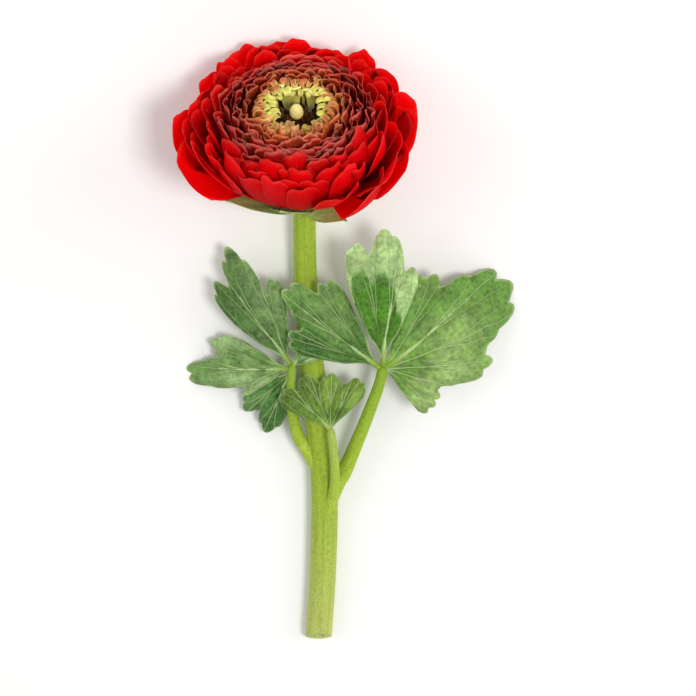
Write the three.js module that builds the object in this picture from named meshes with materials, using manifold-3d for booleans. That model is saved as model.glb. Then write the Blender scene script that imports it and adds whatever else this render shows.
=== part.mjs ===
// A ranunculus flower as picked: a double red bloom on its cut stem, with the leaves that the stem carries.
// It lies on a flat surface, on the back of its bloom, on its leaf tips and on the cut end of its stem.
// Millimetres and degrees. X is across the stem, Y runs from the cut end to the bloom, and Z is up.

import * as THREE from 'three';
import { mergeVertices } from 'three/addons/utils/BufferGeometryUtils.js';
import Module from 'manifold-3d';

const wasm = await Module();
wasm.setup();

// Driving dimensions
const STEM_LENGTH = 131;
const STEM_TOP_RADIUS = 3.1;
const STEM_CUT_RADIUS = 3.8;
const STEM_HOLLOW_RADIUS = 1.7;
const STEM_HOLLOW_DEPTH = 9;
const CUT_SLANT = 28;
const BLOOM_BASE_HEIGHT = 10.8;
const FACE_ELEVATION = 38;
const BLOOM_LEAN = -2.5;
const BLADE = 0.62;
const LEAF_BLADE = 0.7;
const SEAT_GAP = 0.3;
const FRONT_CLOSING = 0.16;
const RIM_RADIUS = 33;

// The bloom's layers, from one that hangs open at t = -0.4, by the outermost petals at t = 0, to the
// innermost at t = 1. Each is a curve in the half plane through the bloom's axis, from root to tip, as
// [distance from the axis, height above the stem's top].
const LAYERS = [
  { t: -0.4, root: [4.5, 2.5], out: [22, -3.5], up: [36, 4], tip: [45, 14] },
  { t: 0, root: [4.5, 2.5], out: [19, 6], up: [30, 17.5], tip: [33, 29.5] },
  { t: 0.25, root: [11, 7.6], out: [20, 12.4], up: [27.5, 21.2], tip: [27.5, 31.5] },
  { t: 0.45, root: [14.5, 13], out: [19.5, 17.4], up: [22.8, 25.2], tip: [21.5, 32.6] },
  { t: 0.65, root: [12.5, 19.7], out: [16, 23.1], up: [17.3, 28.5], tip: [16, 33.2] },
  { t: 0.75, root: [10.5, 22.4], out: [12.8, 25.4], up: [14.2, 29.8], tip: [13, 33.6] },
  { t: 0.9, root: [7.8, 23.7], out: [9.2, 26.7], up: [10.3, 31.1], tip: [9.3, 34] },
  { t: 1, root: [6.2, 24.7], out: [7, 27.7], up: [8.2, 31.1], tip: [5.8, 33.6] },
];

// Each colour of petal is one spiral of blades, t from its outermost petal to its innermost.
const RED = {
  from: 0.016, to: 0.415, count: 50, perTurn: 13, width: [15.5, 12], rows: 4, columns: 3,
  tuck: 0.115, cup: 0.006, round: 0.1, phase: 102, seed: 11,
};
const MAROON = {
  from: 0.487, to: 0.722, count: 50, perTurn: 13.4, width: [9.8, 7], rows: 3, columns: 2,
  tuck: 0.07, cup: 0.004, round: 0.1, phase: 40, seed: 211,
};
const GREEN = {
  from: 0.82, to: 0.975, count: 20, perTurn: 9.5, width: [6.2, 4.4], rows: 3, columns: 2,
  tuck: 0.04, cup: 0.003, round: 0.06, phase: 10, seed: 401,
};

// The outer petals hang open at the lower right and at the left, and stand closer at the lower left:
// [azimuth, how far, half its breadth]. From layer 0 to the last opened one this dies away. An opened petal
// is wider, and leans out over the first part of its length.
const OPENINGS = [[322, 0.27, 38], [200, 0.15, 32], [243, -0.16, 44]];
const LAST_OPENED = 0.3;
const OPENED_WIDTH = 1.8;
const LEANING_LENGTH = 0.75;

// The red petals at both sides turn their faces to the front: an edge leans by so many layers there. This
// dies away from the first faced layer to the last, and towards the back of the bloom.
const FACING = 0.13;
const FACED_LAYERS = [0.02, 0.42];
const BACK = 0.9;

const material = (name, colour, roughness) => {
  const made = new THREE.MeshStandardMaterial({ color: colour, roughness, metalness: 0 });
  made.name = name;
  return made;
};
const redPetal = material('red_petal', 0xb80f16, 0.5);
const maroonPetal = material('maroon_petal', 0x6e1a22, 0.6);
const greenPetal = material('green_petal', 0xb4b84a, 0.55);
const paleTip = material('pale_tip', 0xe6dc96, 0.5);
const stemSkin = material('stem_skin', 0x93ac3f, 0.5);
const sepalSkin = material('sepal_skin', 0x6f8a4c, 0.6);
const leafSkin = material('leaf_skin', 0x4f7d43, 0.55);

const radians = THREE.MathUtils.degToRad;
const mix = THREE.MathUtils.lerp;
const smooth = (x) => THREE.MathUtils.smoothstep(x, 0, 1);

// The same number from 0 to 1 each time for the same index.
function chance(index) {
  const wave = Math.sin(index * 12.9898 + 4.1414) * 43758.5453;
  return wave - Math.floor(wave);
}

// Solids

function solidOf(geometry) {
  const bare = geometry.index ? geometry.toNonIndexed() : geometry.clone();
  bare.deleteAttribute('normal');
  bare.deleteAttribute('uv');
  const merged = mergeVertices(bare, 1e-4);
  return new wasm.Manifold(new wasm.Mesh({
    numProp: 3,
    vertProperties: merged.attributes.position.array,
    triVerts: new Uint32Array(merged.index.array),
  }));
}

function meshOf(solid, name, skin) {
  const { vertProperties, triVerts } = solid.getMesh();
  const geometry = new THREE.BufferGeometry();
  geometry.setAttribute('position', new THREE.BufferAttribute(vertProperties, 3));
  geometry.setIndex(new THREE.BufferAttribute(triVerts, 1));
  geometry.computeVertexNormals();
  const mesh = new THREE.Mesh(geometry, skin);
  mesh.name = name;
  return mesh;
}

const joined = (solids) => solids.reduce((whole, piece) => whole.add(piece));

// A solid with the hollows sealed inside it filled: of its shells only those that face outwards stay.
const filled = (solid) => joined(solid.decompose().filter((shell) => shell.volume() > 0));

// A thin blade round a middle surface: at(u, v) is its point, u from root to tip and v from -1 to 1 across.
// Both faces are split into triangles alike.
function blade(at, rows, columns, thickness) {
  const step = 0.01;
  const positions = [];
  const normalAt = (u, v) => {
    const along = at(u + step, v).sub(at(u - step, v));
    const across = at(u, v + step).sub(at(u, v - step));
    return across.cross(along).normalize();
  };
  for (const side of [1, -1]) {
    for (let i = 0; i <= rows; i++) {
      for (let j = 0; j <= columns; j++) {
        const u = i / rows;
        const v = (2 * j) / columns - 1;
        const point = at(u, v).addScaledVector(normalAt(u, v), (side * thickness) / 2);
        positions.push(point.x, point.y, point.z);
      }
    }
  }
  const wide = columns + 1;
  const back = (rows + 1) * wide;
  const triangles = [];
  for (let i = 0; i < rows; i++) {
    for (let j = 0; j < columns; j++) {
      const a = i * wide + j;
      const [b, c, d] = [a + 1, a + wide + 1, a + wide];
      triangles.push(a, b, c, a, c, d);
      triangles.push(back + a, back + c, back + b, back + a, back + d, back + c);
    }
  }
  const edge = [];
  for (let j = 0; j < columns; j++) edge.push(j);
  for (let i = 0; i < rows; i++) edge.push(i * wide + columns);
  for (let j = columns; j > 0; j--) edge.push(rows * wide + j);
  for (let i = rows; i > 0; i--) edge.push(i * wide);
  edge.forEach((a, k) => {
    const b = edge[(k + 1) % edge.length];
    triangles.push(a, back + a, back + b, a, back + b, b);
  });
  const geometry = new THREE.BufferGeometry();
  geometry.setAttribute('position', new THREE.Float32BufferAttribute(positions, 3));
  geometry.setIndex(triangles);
  return solidOf(geometry);
}

// A round stalk along a span of a curve: a cylinder bent to it.
function stalk(curve, radiusAt, sides, steps, from = 0, to = 1) {
  const geometry = new THREE.CylinderGeometry(1, 1, 1, sides, steps);
  const position = geometry.attributes.position;
  for (let i = 0; i < position.count; i++) {
    const t = THREE.MathUtils.clamp(mix(from, to, position.getY(i) + 0.5), 0, 1);
    const tangent = curve.getTangentAt(t);
    const side = new THREE.Vector3(1, 0, 0).addScaledVector(tangent, -tangent.x).normalize();
    const up = new THREE.Vector3().crossVectors(side, tangent);
    const point = curve.getPointAt(t)
      .addScaledVector(side, position.getX(i) * radiusAt(t))
      .addScaledVector(up, position.getZ(i) * radiusAt(t));
    position.setXYZ(i, point.x, point.y, point.z);
  }
  return solidOf(geometry);
}

const curveThrough = (points) => new THREE.CatmullRomCurve3(points.map((p) => new THREE.Vector3(...p)));

// The bloom, in its own frame: its axis is Z, from the stem's top, X is to the right, and -Y is the front.

function layerPoint(t, s) {
  let k = 0;
  while (k < LAYERS.length - 2 && t > LAYERS[k + 1].t) k++;
  const [outer, inner] = [LAYERS[k], LAYERS[k + 1]];
  const share = (t - outer.t) / (inner.t - outer.t);
  const control = (name) => [0, 1].map((axis) => mix(outer[name][axis], inner[name][axis], share));
  const [a, b, c, d] = ['root', 'out', 'up', 'tip'].map(control);
  const rest = 1 - s;
  return [0, 1].map((axis) =>
    rest ** 3 * a[axis] + 3 * s * rest * rest * b[axis] + 3 * s * s * rest * c[axis] + s ** 3 * d[axis]);
}

const cyclic = (degrees) => THREE.MathUtils.euclideanModulo(degrees + 180, 360) - 180;

// How many layers inwards a petal or sepal of layer t leans: below 0 where it hangs open.
function opening(t, azimuth) {
  const outer = 1 - smooth(t / LAST_OPENED);
  return OPENINGS.reduce((hang, [at, much, breadth]) => {
    const off = cyclic(THREE.MathUtils.radToDeg(azimuth) - at) / breadth;
    return hang - much * outer * (1 - smooth(Math.abs(off)));
  }, 0);
}

// A point of layer t. The front of the bowl is less open than its sides and back.
function bloomPoint(t, s, azimuth) {
  const [radius, height] = layerPoint(t, s);
  const front = Math.max(0, -Math.sin(azimuth)) ** 1.5;
  const closed = radius * (1 - FRONT_CLOSING * front * smooth(radius / RIM_RADIUS));
  return new THREE.Vector3(closed * Math.cos(azimuth), closed * Math.sin(azimuth), height);
}

// Petals start a little past their layer's root, and end where their reach does.
const ROOT_START = 0.12;

// How wide a petal is along its length, as a share of its greatest width.
function petalWidth(u) {
  const belly = Math.sin((Math.PI * THREE.MathUtils.clamp(u, 0, 1)) / 1.45) ** 1.2;
  return 0.34 + 0.66 * belly - 0.16 * u ** 6;
}

function petal(family, index) {
  const share = index / (family.count - 1);
  const layer = mix(family.from, family.to, share);
  const stray = 0.2 * (chance(family.seed + index) - 0.5);
  const azimuth = radians(family.phase + (360 / family.perTurn) * (index + stray));
  const reach = mix(0.94, 1, chance(family.seed + index + 0.5));
  const hang = opening(layer, azimuth);
  const breadth = mix(...family.width, share) * mix(0.9, 1.06, chance(family.seed + index + 0.25));
  const width = breadth * (1 + OPENED_WIDTH * Math.max(0, -hang));
  const inner = THREE.MathUtils.smoothstep(layer, ...FACED_LAYERS);
  const facing = FACING * Math.cos(azimuth) * smooth(1 - Math.sin(azimuth) / BACK) * (1 - inner);
  const at = (u, v) => {
    const s = mix(ROOT_START, reach, u) * (1 - family.round * v * v * u * u);
    const [radius] = layerPoint(layer, s);
    const turn = (v * petalWidth(u) * width) / 2 / radius;
    const lean = hang * smooth(u / LEANING_LENGTH) + family.tuck * turn + family.cup * v * v * u;
    return bloomPoint(layer + lean + facing * v * u * u, s, azimuth + turn);
  };
  return blade(at, family.rows, family.columns, BLADE);
}

const petals = (family) => Array.from({ length: family.count }, (_, index) => petal(family, index));

// The layer's points that a core's side runs through, a little above the roots, which are sunk in it.
const ROOT_DEPTH = 0.19;
const coreSide = (from, to, count) =>
  Array.from({ length: count }, (_, k) => layerPoint(mix(from, to, k / (count - 1)), ROOT_DEPTH));

// A solid of revolution round Z, from [radius, height] points.
function lathe(profile, sides) {
  const outline = profile.map(([radius, height]) => new THREE.Vector2(radius, height));
  return solidOf(new THREE.LatheGeometry(outline, sides).rotateX(Math.PI / 2));
}

const RED_SEAT = { radius: 13, floor: 12 };
const MAROON_SEAT = { radius: 8.4, floor: 18.4 };
const GREEN_SEAT = { radius: 5, floor: 22.2 };

function redCore() {
  const side = coreSide(0, 0.415, 4);
  const brim = side.at(-1)[1];
  return lathe([
    [0, 1], [6, 1], ...side,
    [RED_SEAT.radius, brim], [RED_SEAT.radius, RED_SEAT.floor], [0, RED_SEAT.floor],
  ], 18);
}

function maroonCore() {
  const side = coreSide(0.5, 0.735, 3);
  const plug = RED_SEAT.radius - SEAT_GAP;
  const foot = RED_SEAT.floor + SEAT_GAP;
  return lathe([
    [0, foot], [plug, foot], [plug, side[0][1] - 1.7], ...side,
    [MAROON_SEAT.radius, side.at(-1)[1]], [MAROON_SEAT.radius, MAROON_SEAT.floor], [0, MAROON_SEAT.floor],
  ], 16);
}

function greenCore() {
  const side = coreSide(0.8, 1, 2);
  const plug = MAROON_SEAT.radius - SEAT_GAP;
  const foot = MAROON_SEAT.floor + SEAT_GAP;
  return lathe([
    [0, foot], [plug, foot], [plug, side[0][1] - 0.3], ...side,
    [GREEN_SEAT.radius, side.at(-1)[1]], [GREEN_SEAT.radius, GREEN_SEAT.floor], [0, GREEN_SEAT.floor],
  ], 16);
}

// The pale egg in the middle, on a ring of short dark stamens.
function pistil() {
  const foot = GREEN_SEAT.floor + SEAT_GAP;
  return lathe([
    [0, foot], [4.5, foot], [4.6, foot + 2], [3.4, foot + 3], [1.5, foot + 3], [1.5, foot + 4.2],
    [2, foot + 5.8], [2.15, foot + 7.3], [1.9, foot + 8.9], [1.15, foot + 10.1], [0, foot + 10.6],
  ], 14);
}

// The green sepals lie under the outermost petals, as one more layer that sinks to a small cup on the stem's
// top. Each reaches a share of the layer's curve, hangs open like the petals over it, and leans in half as
// far as they do.
const SEPAL_LAYER = -0.08;
const SEPAL_SINK = 3;
const CUP_FOOT = -1.6;
const SEPALS = [
  { azimuth: 254, reach: 0.5, width: 14 },
  { azimuth: 310, reach: 0.36, width: 10 },
  { azimuth: 54, reach: 0.45, width: 11.5 },
  { azimuth: 126, reach: 0.45, width: 11.5 },
  { azimuth: 216, reach: 0.58, width: 12.5 },
];

function sepal({ azimuth, reach, width }) {
  const hang = opening(SEPAL_LAYER, radians(azimuth));
  const layer = SEPAL_LAYER + Math.min(hang, hang / 2);
  const at = (u, v) => {
    const s = reach * u * (1 - 0.14 * v * v * u);
    const [radius] = layerPoint(SEPAL_LAYER, s);
    const half = (width / 2) * Math.sin(Math.PI * mix(0.2, 0.9, THREE.MathUtils.clamp(u, 0, 1))) ** 0.7;
    const point = bloomPoint(layer, s, radians(azimuth) + (v * half) / Math.max(radius, half));
    point.z -= SEPAL_SINK * (1 - smooth(s / 0.4));
    return point;
  };
  return blade(at, 4, 3, BLADE);
}

function calyx() {
  const cup = lathe([
    [0, CUP_FOOT], [STEM_TOP_RADIUS, CUP_FOOT], [5.2, -0.9], [6, 0.4], [0, 0.6],
  ], 16);
  return joined([cup, ...SEPALS.map(sepal)]);
}

// The stem

const bloomTurn = new THREE.Euler(radians(FACE_ELEVATION - 90), radians(BLOOM_LEAN), 0);
const bloomAxis = new THREE.Vector3(0, 0, 1).applyEuler(bloomTurn);
const bloomBase = new THREE.Vector3(0, 0, BLOOM_BASE_HEIGHT);
const stemTop = bloomBase.clone().addScaledVector(bloomAxis, CUP_FOOT - SEAT_GAP);
const neck = bloomBase.clone().addScaledVector(bloomAxis, -6.5);
const CUT_X = 3.6;
const CUT_HEIGHT = 3.7;

const stemLine = curveThrough([
  stemTop.toArray(), neck.toArray(), [0.3, -13, 5.6], [0.7, -30, 5.2], [2.6, -55, 5], [5.6, -82, 4.6],
  [5.4, -108, 4.1], [CUT_X, -STEM_LENGTH - 6, CUT_HEIGHT],
]);
const stemRadius = (t) => mix(STEM_TOP_RADIUS, STEM_CUT_RADIUS, smooth(t / 0.7));

const GROUND_DEPTH = 60;
function ground() {
  const box = new THREE.BoxGeometry(400, 500, GROUND_DEPTH);
  box.translate(0, 0, -GROUND_DEPTH / 2);
  return solidOf(box);
}

function stem() {
  const whole = stalk(stemLine, stemRadius, 12, 22);
  const beyond = new THREE.BoxGeometry(40, 40, 40);
  beyond.translate(0, -20, 0);
  beyond.rotateX(radians(-CUT_SLANT));
  beyond.translate(CUT_X, -STEM_LENGTH, CUT_HEIGHT);
  const depth = 2 * STEM_HOLLOW_DEPTH;
  const hollow = new THREE.CylinderGeometry(STEM_HOLLOW_RADIUS, STEM_HOLLOW_RADIUS, depth, 10);
  hollow.translate(CUT_X + 0.1, -STEM_LENGTH, CUT_HEIGHT + 0.1);
  const feet = [LEAF_RIGHT, LEAF_LEFT, LEAF_SMALL].map((shape) => petiolePiece(shape, 0, shape.joint, 3));
  return joined([whole, ...feet])
    .subtract(solidOf(beyond))
    .subtract(solidOf(hollow))
    .subtract(ground());
}

// Leaves. A leaflet is a fan of rounded lobes: veins run out from its foot to its lobed and scalloped edge.

// How far the edge lies from the foot, as a share of the leaflet's length. Each lobe is [its angle from the
// leaflet's middle, its share of the length, half its breadth in degrees], and teeth is [how many, how deep].
function fanEdge({ lobes, spread, teeth: [count, depth] }, degrees) {
  const edges = lobes.map(([middle, share, breadth]) => {
    const off = THREE.MathUtils.clamp((degrees - middle) / breadth, -1, 1);
    return share * Math.cos((Math.PI / 2) * off) ** 0.5;
  });
  const tooth = Math.abs(Math.cos((Math.PI / 2) * count * (degrees / spread)));
  return Math.max(0.2, ...edges) * (1 - depth * (1 - tooth));
}

// A leaflet's blade starts at its foot and runs along its heading, which is turned anticlockwise from Y, as
// seen from above. Its waist is the share of its spread that it has at its foot. It sets off at its pitch and
// sags to its tip, and is folded up along its middle.
function leafletPoint(leaflet, u, v) {
  const degrees = v * leaflet.spread;
  const reach = leaflet.length * mix(0.02, 1, u) * fanEdge(leaflet, degrees);
  const turn = radians(degrees * mix(leaflet.waist, 1, smooth(u / 0.5)));
  const x = -reach * Math.sin(turn);
  const y = reach * Math.cos(turn);
  const out = reach / leaflet.length;
  const rise = reach * Math.tan(radians(leaflet.pitch)) - leaflet.sag * out * out;
  const fold = leaflet.fold * Math.abs(x) * (1 - 0.5 * out);
  const wave = leaflet.wave * Math.cos(radians(degrees) * leaflet.waves) * out * out;
  const point = new THREE.Vector3(x, y, rise + fold + wave);
  point.applyAxisAngle(new THREE.Vector3(0, 0, 1), radians(leaflet.heading));
  return point.add(new THREE.Vector3(...leaflet.foot));
}

function leafletBlade(leaflet) {
  return blade((u, v) => leafletPoint(leaflet, u, -v), 3, leaflet.columns, LEAF_BLADE);
}

const LEAF_RIGHT = {
  petiole: [
    [5.7, -92, 4.4], [8.4, -87, 5], [11.8, -80.5, 5.9], [14.8, -73, 8], [18.5, -63, 10.6],
    [21.6, -54, 12], [22.6, -49, 12.3],
  ],
  radius: [2.4, 1.5],
  joint: 0.27,
  leaflets: [
    {
      foot: [22.7, -50, 12.2], heading: -78, pitch: 8, sag: 18.8, length: 43.5, spread: 63, waist: 0.9,
      lobes: [[48, 0.7, 30], [20, 1, 30], [-8, 0.72, 26], [-46, 0.42, 48]], teeth: [13, 0.06],
      fold: 0.05, wave: 0.9, waves: 6, columns: 26,
    },
    {
      foot: [22.6, -50, 12.3], heading: 1, pitch: 14, sag: 3, length: 41, spread: 22, waist: 0.3,
      lobes: [[12, 0.93, 13], [-2, 1, 16], [-16, 0.76, 13]], teeth: [5, 0.03],
      fold: 0.3, wave: 0.8, waves: 12, columns: 20,
    },
    {
      foot: [22.4, -50.3, 12.3], heading: 52, pitch: 9, sag: 4.6, length: 37, spread: 27, waist: 0.4,
      lobes: [[-18, 0.84, 18], [-3, 1, 17], [17, 0.78, 20]], teeth: [7, 0.05],
      fold: 0.12, wave: 0.6, waves: 9, columns: 14,
    },
  ],
};
const LEAF_LEFT = {
  petiole: [
    [5.3, -82, 4.7], [2.2, -77.5, 5], [-1.8, -70.5, 5.6], [-3.2, -64, 7], [-3.7, -56, 8.6],
    [-3.3, -49, 9.8],
  ],
  radius: [2, 1.3],
  joint: 0.37,
  leaflets: [
    {
      foot: [-3.4, -50, 9.7], heading: 28, pitch: 6, sag: 6.5, length: 39, spread: 24, waist: 0.4,
      lobes: [[14, 0.84, 14], [1, 1, 13], [-16, 0.68, 14]], teeth: [7, 0.06],
      fold: 0.25, wave: 0.8, waves: 10, columns: 14,
    },
    {
      foot: [-3.6, -50.4, 9.6], heading: 92, pitch: 6, sag: 14.2, length: 31, spread: 32, waist: 0.55,
      lobes: [[-18, 0.78, 20], [4, 1, 18], [26, 0.52, 20]], teeth: [7, 0.06],
      fold: 0.12, wave: 0.7, waves: 8, columns: 14,
    },
    {
      foot: [-3.5, -51, 9.5], heading: 146, pitch: -4, sag: 5.5, length: 21, spread: 32, waist: 0.6,
      lobes: [[-14, 0.9, 22], [12, 1, 22]], teeth: [5, 0.06],
      fold: 0.1, wave: 0.5, waves: 6, columns: 10,
    },
    {
      foot: [-3.2, -49.8, 10], heading: -42, pitch: 9, sag: 1.5, length: 11, spread: 36, waist: 0.6,
      lobes: [[-18, 0.86, 24], [16, 1, 24]], teeth: [5, 0.03],
      fold: 0.1, wave: 0.3, waves: 6, columns: 10,
    },
  ],
};
const LEAF_SMALL = {
  petiole: [
    [5.8, -96, 4.6], [7.4, -91, 7.2], [8.7, -85, 9.5], [8.8, -78, 10.9], [8.2, -72, 11.6],
    [7.6, -67.2, 11.8],
  ],
  radius: [1.6, 1.2],
  joint: 0.37,
  leaflets: [
    {
      foot: [7.7, -68, 11.7], heading: 10, pitch: 2, sag: 1.8, length: 18.5, spread: 54, waist: 0.8,
      lobes: [[42, 0.98, 24], [16, 0.96, 24], [-10, 0.9, 24], [-40, 0.92, 26]], teeth: [9, 0.03],
      fold: 0.06, wave: 0.5, waves: 7, columns: 18,
    },
  ],
};

// A petiole grows out of the stem. Its foot, up to the joint, belongs to the stem, and the rest to the leaf.
function petiolePiece({ petiole, radius }, from, to, steps) {
  const line = curveThrough(petiole);
  const gap = from > 0 ? SEAT_GAP / line.getLength() : 0;
  return stalk(line, (t) => mix(...radius, t), 8, steps, from + gap, to);
}

function leaf(shape) {
  const stalkSolid = petiolePiece(shape, shape.joint, 1, 6);
  return joined([stalkSolid, ...shape.leaflets.map(leafletBlade)]).subtract(ground());
}

// Placing

const bloom = new THREE.Group();
bloom.position.copy(bloomBase);
bloom.rotation.copy(bloomTurn);
bloom.updateMatrix();

// The ground seen from the bloom's own frame, to flatten the petals that rest on it.
const groundFromBloom = ground().transform(bloom.matrix.clone().invert().toArray());
const redSolid = filled(joined([redCore(), ...petals(RED)]).subtract(groundFromBloom));
bloom.add(
  meshOf(redSolid, 'red_petals', redPetal),
  meshOf(joined([maroonCore(), ...petals(MAROON)]), 'maroon_petals', maroonPetal),
  meshOf(joined([greenCore(), ...petals(GREEN)]), 'green_petals', greenPetal),
  meshOf(pistil(), 'pistil', paleTip),
  meshOf(calyx(), 'calyx', sepalSkin),
);

const flower = new THREE.Group();
flower.add(
  bloom,
  meshOf(stem(), 'stem', stemSkin),
  meshOf(leaf(LEAF_RIGHT), 'leaf_right', leafSkin),
  meshOf(leaf(LEAF_LEFT), 'leaf_left', leafSkin),
  meshOf(leaf(LEAF_SMALL), 'leaf_small', leafSkin),
);

// The frame's origin is under the middle of the whole, on the surface.
const middle = new THREE.Box3().setFromObject(flower, true).getCenter(new THREE.Vector3());
flower.position.set(-middle.x, -middle.y, 0);

export default flower;
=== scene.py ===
"""A double red ranunculus flower as picked, lying on a pale floor.

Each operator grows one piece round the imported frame. Lengths are in millimetres until a mesh is filled, and
the bloom is worked out in its own frame: its axis is Z, X is to the right, and -Y is the front of the bowl.
"""

import bisect
import math
import random

import bmesh
import bpy
from bpy.props import FloatProperty, FloatVectorProperty, IntProperty, PointerProperty
from mathutils import Matrix, Vector


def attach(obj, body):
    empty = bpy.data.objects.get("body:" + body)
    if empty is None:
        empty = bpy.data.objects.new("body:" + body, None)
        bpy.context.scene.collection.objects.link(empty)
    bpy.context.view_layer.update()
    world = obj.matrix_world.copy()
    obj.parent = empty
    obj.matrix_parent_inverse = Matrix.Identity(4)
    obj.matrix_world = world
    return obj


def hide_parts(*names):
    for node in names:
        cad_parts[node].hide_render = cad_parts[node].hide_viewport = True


bl_info = {
    "name": "Ranunculus Flower",
    "version": (1, 0, 0),
    "blender": (4, 5, 0),
    "location": "3D View > Sidebar > Flower",
    "description": "Grows a double ranunculus flower with its stem and leaves round its frame",
    "category": "Add Mesh",
}

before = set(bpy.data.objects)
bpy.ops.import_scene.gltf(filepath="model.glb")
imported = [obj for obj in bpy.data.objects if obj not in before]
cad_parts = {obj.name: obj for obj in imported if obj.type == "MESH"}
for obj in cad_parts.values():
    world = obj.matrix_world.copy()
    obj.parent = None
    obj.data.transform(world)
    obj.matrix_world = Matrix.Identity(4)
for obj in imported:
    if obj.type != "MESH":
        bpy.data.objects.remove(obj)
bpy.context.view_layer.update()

MM = 0.001

# Driving dimensions, the same as the frame's
STEM_LENGTH = 131
STEM_TOP_RADIUS = 3.1
STEM_CUT_RADIUS = 3.8
STEM_HOLLOW_RADIUS = 1.7
STEM_HOLLOW_DEPTH = 9
CUT_SLANT = math.radians(28)
CUT_X = 3.6
CUT_HEIGHT = 3.7
BLOOM_BASE_HEIGHT = 10.8
FACE_ELEVATION = math.radians(38)
BLOOM_LEAN = math.radians(-2.5)
PISTIL_TIP_HEIGHT = 33.1
FRONT_CLOSING = 0.16
RIM_RADIUS = 33

# A turned shape closes at the bloom's axis with a radius of almost nothing.
POLE = 0.01

# The bloom's layers, from one that hangs open at t = -0.4, by the outermost petals at t = 0, to the
# innermost at t = 1. Each is a curve in the half plane through the bloom's axis, from root to tip, as
# (distance from the axis, height above the stem's top).
LAYERS = (
    (-0.40, ((4.5, 2.5), (22.0, -3.5), (36.0, 4.0), (45.0, 14.0))),
    (0.00, ((4.5, 2.5), (19.0, 6.0), (30.0, 17.5), (33.0, 29.5))),
    (0.25, ((11.0, 7.6), (20.0, 12.4), (27.5, 21.2), (27.5, 31.5))),
    (0.45, ((14.5, 13.0), (19.5, 17.4), (22.8, 25.2), (21.5, 32.6))),
    (0.65, ((12.5, 19.7), (16.0, 23.1), (17.3, 28.5), (16.0, 33.2))),
    (0.75, ((10.5, 22.4), (12.8, 25.4), (14.2, 29.8), (13.0, 33.6))),
    (0.90, ((7.8, 23.7), (9.2, 26.7), (10.3, 31.1), (9.3, 34.0))),
    (1.00, ((6.2, 24.7), (7.0, 27.7), (8.2, 31.1), (5.8, 33.6))),
)

# The outer petals hang open at the lower right and at the left, and stand closer at the lower left: azimuth,
# how far, half its breadth. From layer 0 to the last opened one this dies away. An opened petal is wider, and
# leans out over the first part of its length. By chance each hangs a little looser or closer as well.
OPENINGS = ((322, 0.27, 38), (200, 0.15, 32), (243, -0.16, 44))
LAST_OPENED = 0.3
OPENED_WIDTH = 1.8
LEANING_LENGTH = 0.75
LOOSE = 0.055

# Petals at both sides turn their faces to the front: how far, in layers, the layers over which this dies
# away, and how far round to the back it reaches, as the sine of the azimuth.
FACING = 0.13
FACED_LAYERS = (0.02, 0.42)
BACK = 0.9

# The spirals of petals. Each has its layers from its first petal to its last, how many petals it has in all
# and in a turn, their widths in millimetres, the grid of each, how thick it is against a red one, and how
# rounded off its tip is. Tuck, cup, curl, stray, twist and ruffle say how far, in layers, a petal leans in
# along the turn, cups, curls at its tip, strays, twists and ruffles. Reach is how far up its layer's curve it
# goes, and phase is the azimuth of the first petal.
RED = {
    "layers": (0.01, 0.43), "count": 98, "per_turn": 18.6, "width": (12, 8.6), "grid": (16, 16),
    "thick": 1.0, "round": 0.25, "tuck": 0.05, "cup": 0.07, "curl": (-0.07, 0.11), "stray": 0.034,
    "twist": 0.03, "ruffle": 0.014, "reach": (0.88, 1.03), "phase": 102, "seed": 11,
}
MAROON = {
    "layers": (0.45, 0.765), "count": 150, "per_turn": 20.5, "width": (7.4, 4.8), "grid": (10, 12),
    "thick": 1.3, "round": 0.16, "tuck": 0.06, "cup": 0.03, "curl": (-0.04, 0.04), "stray": 0.026,
    "twist": 0.03, "ruffle": 0.02, "reach": (0.89, 1.0), "phase": 40, "seed": 211,
}
TAN = {
    "layers": (0.775, 0.845), "count": 30, "per_turn": 17, "width": (4.4, 3.6), "grid": (8, 12),
    "thick": 1.4, "round": 0.2, "tuck": 0.05, "cup": 0.06, "curl": (-0.02, 0.12), "stray": 0.02,
    "twist": 0.03, "ruffle": 0.02, "reach": (0.84, 1.0), "phase": 15, "seed": 313,
}
# A petal starts this far up its layer's curve, inside the heart.
ROOT_START = 0.12

# The innermost petals are thick hooks, tan ones round green ones, with a few broad ones at the back. They
# have ranges of half their width, of their thickness, of the radius and sweep of the curl over the middle,
# and of how far up their layer's curve they stand.
TAN_HOOKS = {
    "layers": (0.82, 0.9), "count": 48, "per_turn": 22.3, "half": (0.5, 0.9), "thick": (0.26, 0.4),
    "curl": (0.9, 1.5), "sweep": (100, 220), "stand": (0.72, 0.92), "phase": 61, "seed": 431,
}
GREEN_HOOKS = {
    "layers": (0.88, 0.98), "count": 46, "per_turn": 18.4, "half": (0.6, 1.1), "thick": (0.3, 0.5),
    "curl": (1.5, 2.3), "sweep": (115, 195), "stand": (0.6, 0.84), "phase": 96, "seed": 521,
}
# Pale lightens the back hooks' roots towards the tip colour: partly their own paler colour, partly painted
# light on roots that stand in shade.
BACK_HOOKS = {
    "layers": (0.985, 0.99), "count": 3, "per_turn": 15, "half": (1.4, 1.7), "thick": (0.5, 0.6),
    "curl": (2.6, 3.2), "sweep": (34, 52), "stand": (0.8, 0.9), "phase": 64, "seed": 617, "pale": 0.75,
}
# The shares of a hook's length that stand and that curl
HOOK_STANDING = 0.42
HOOK_CURLED = 0.58

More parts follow.
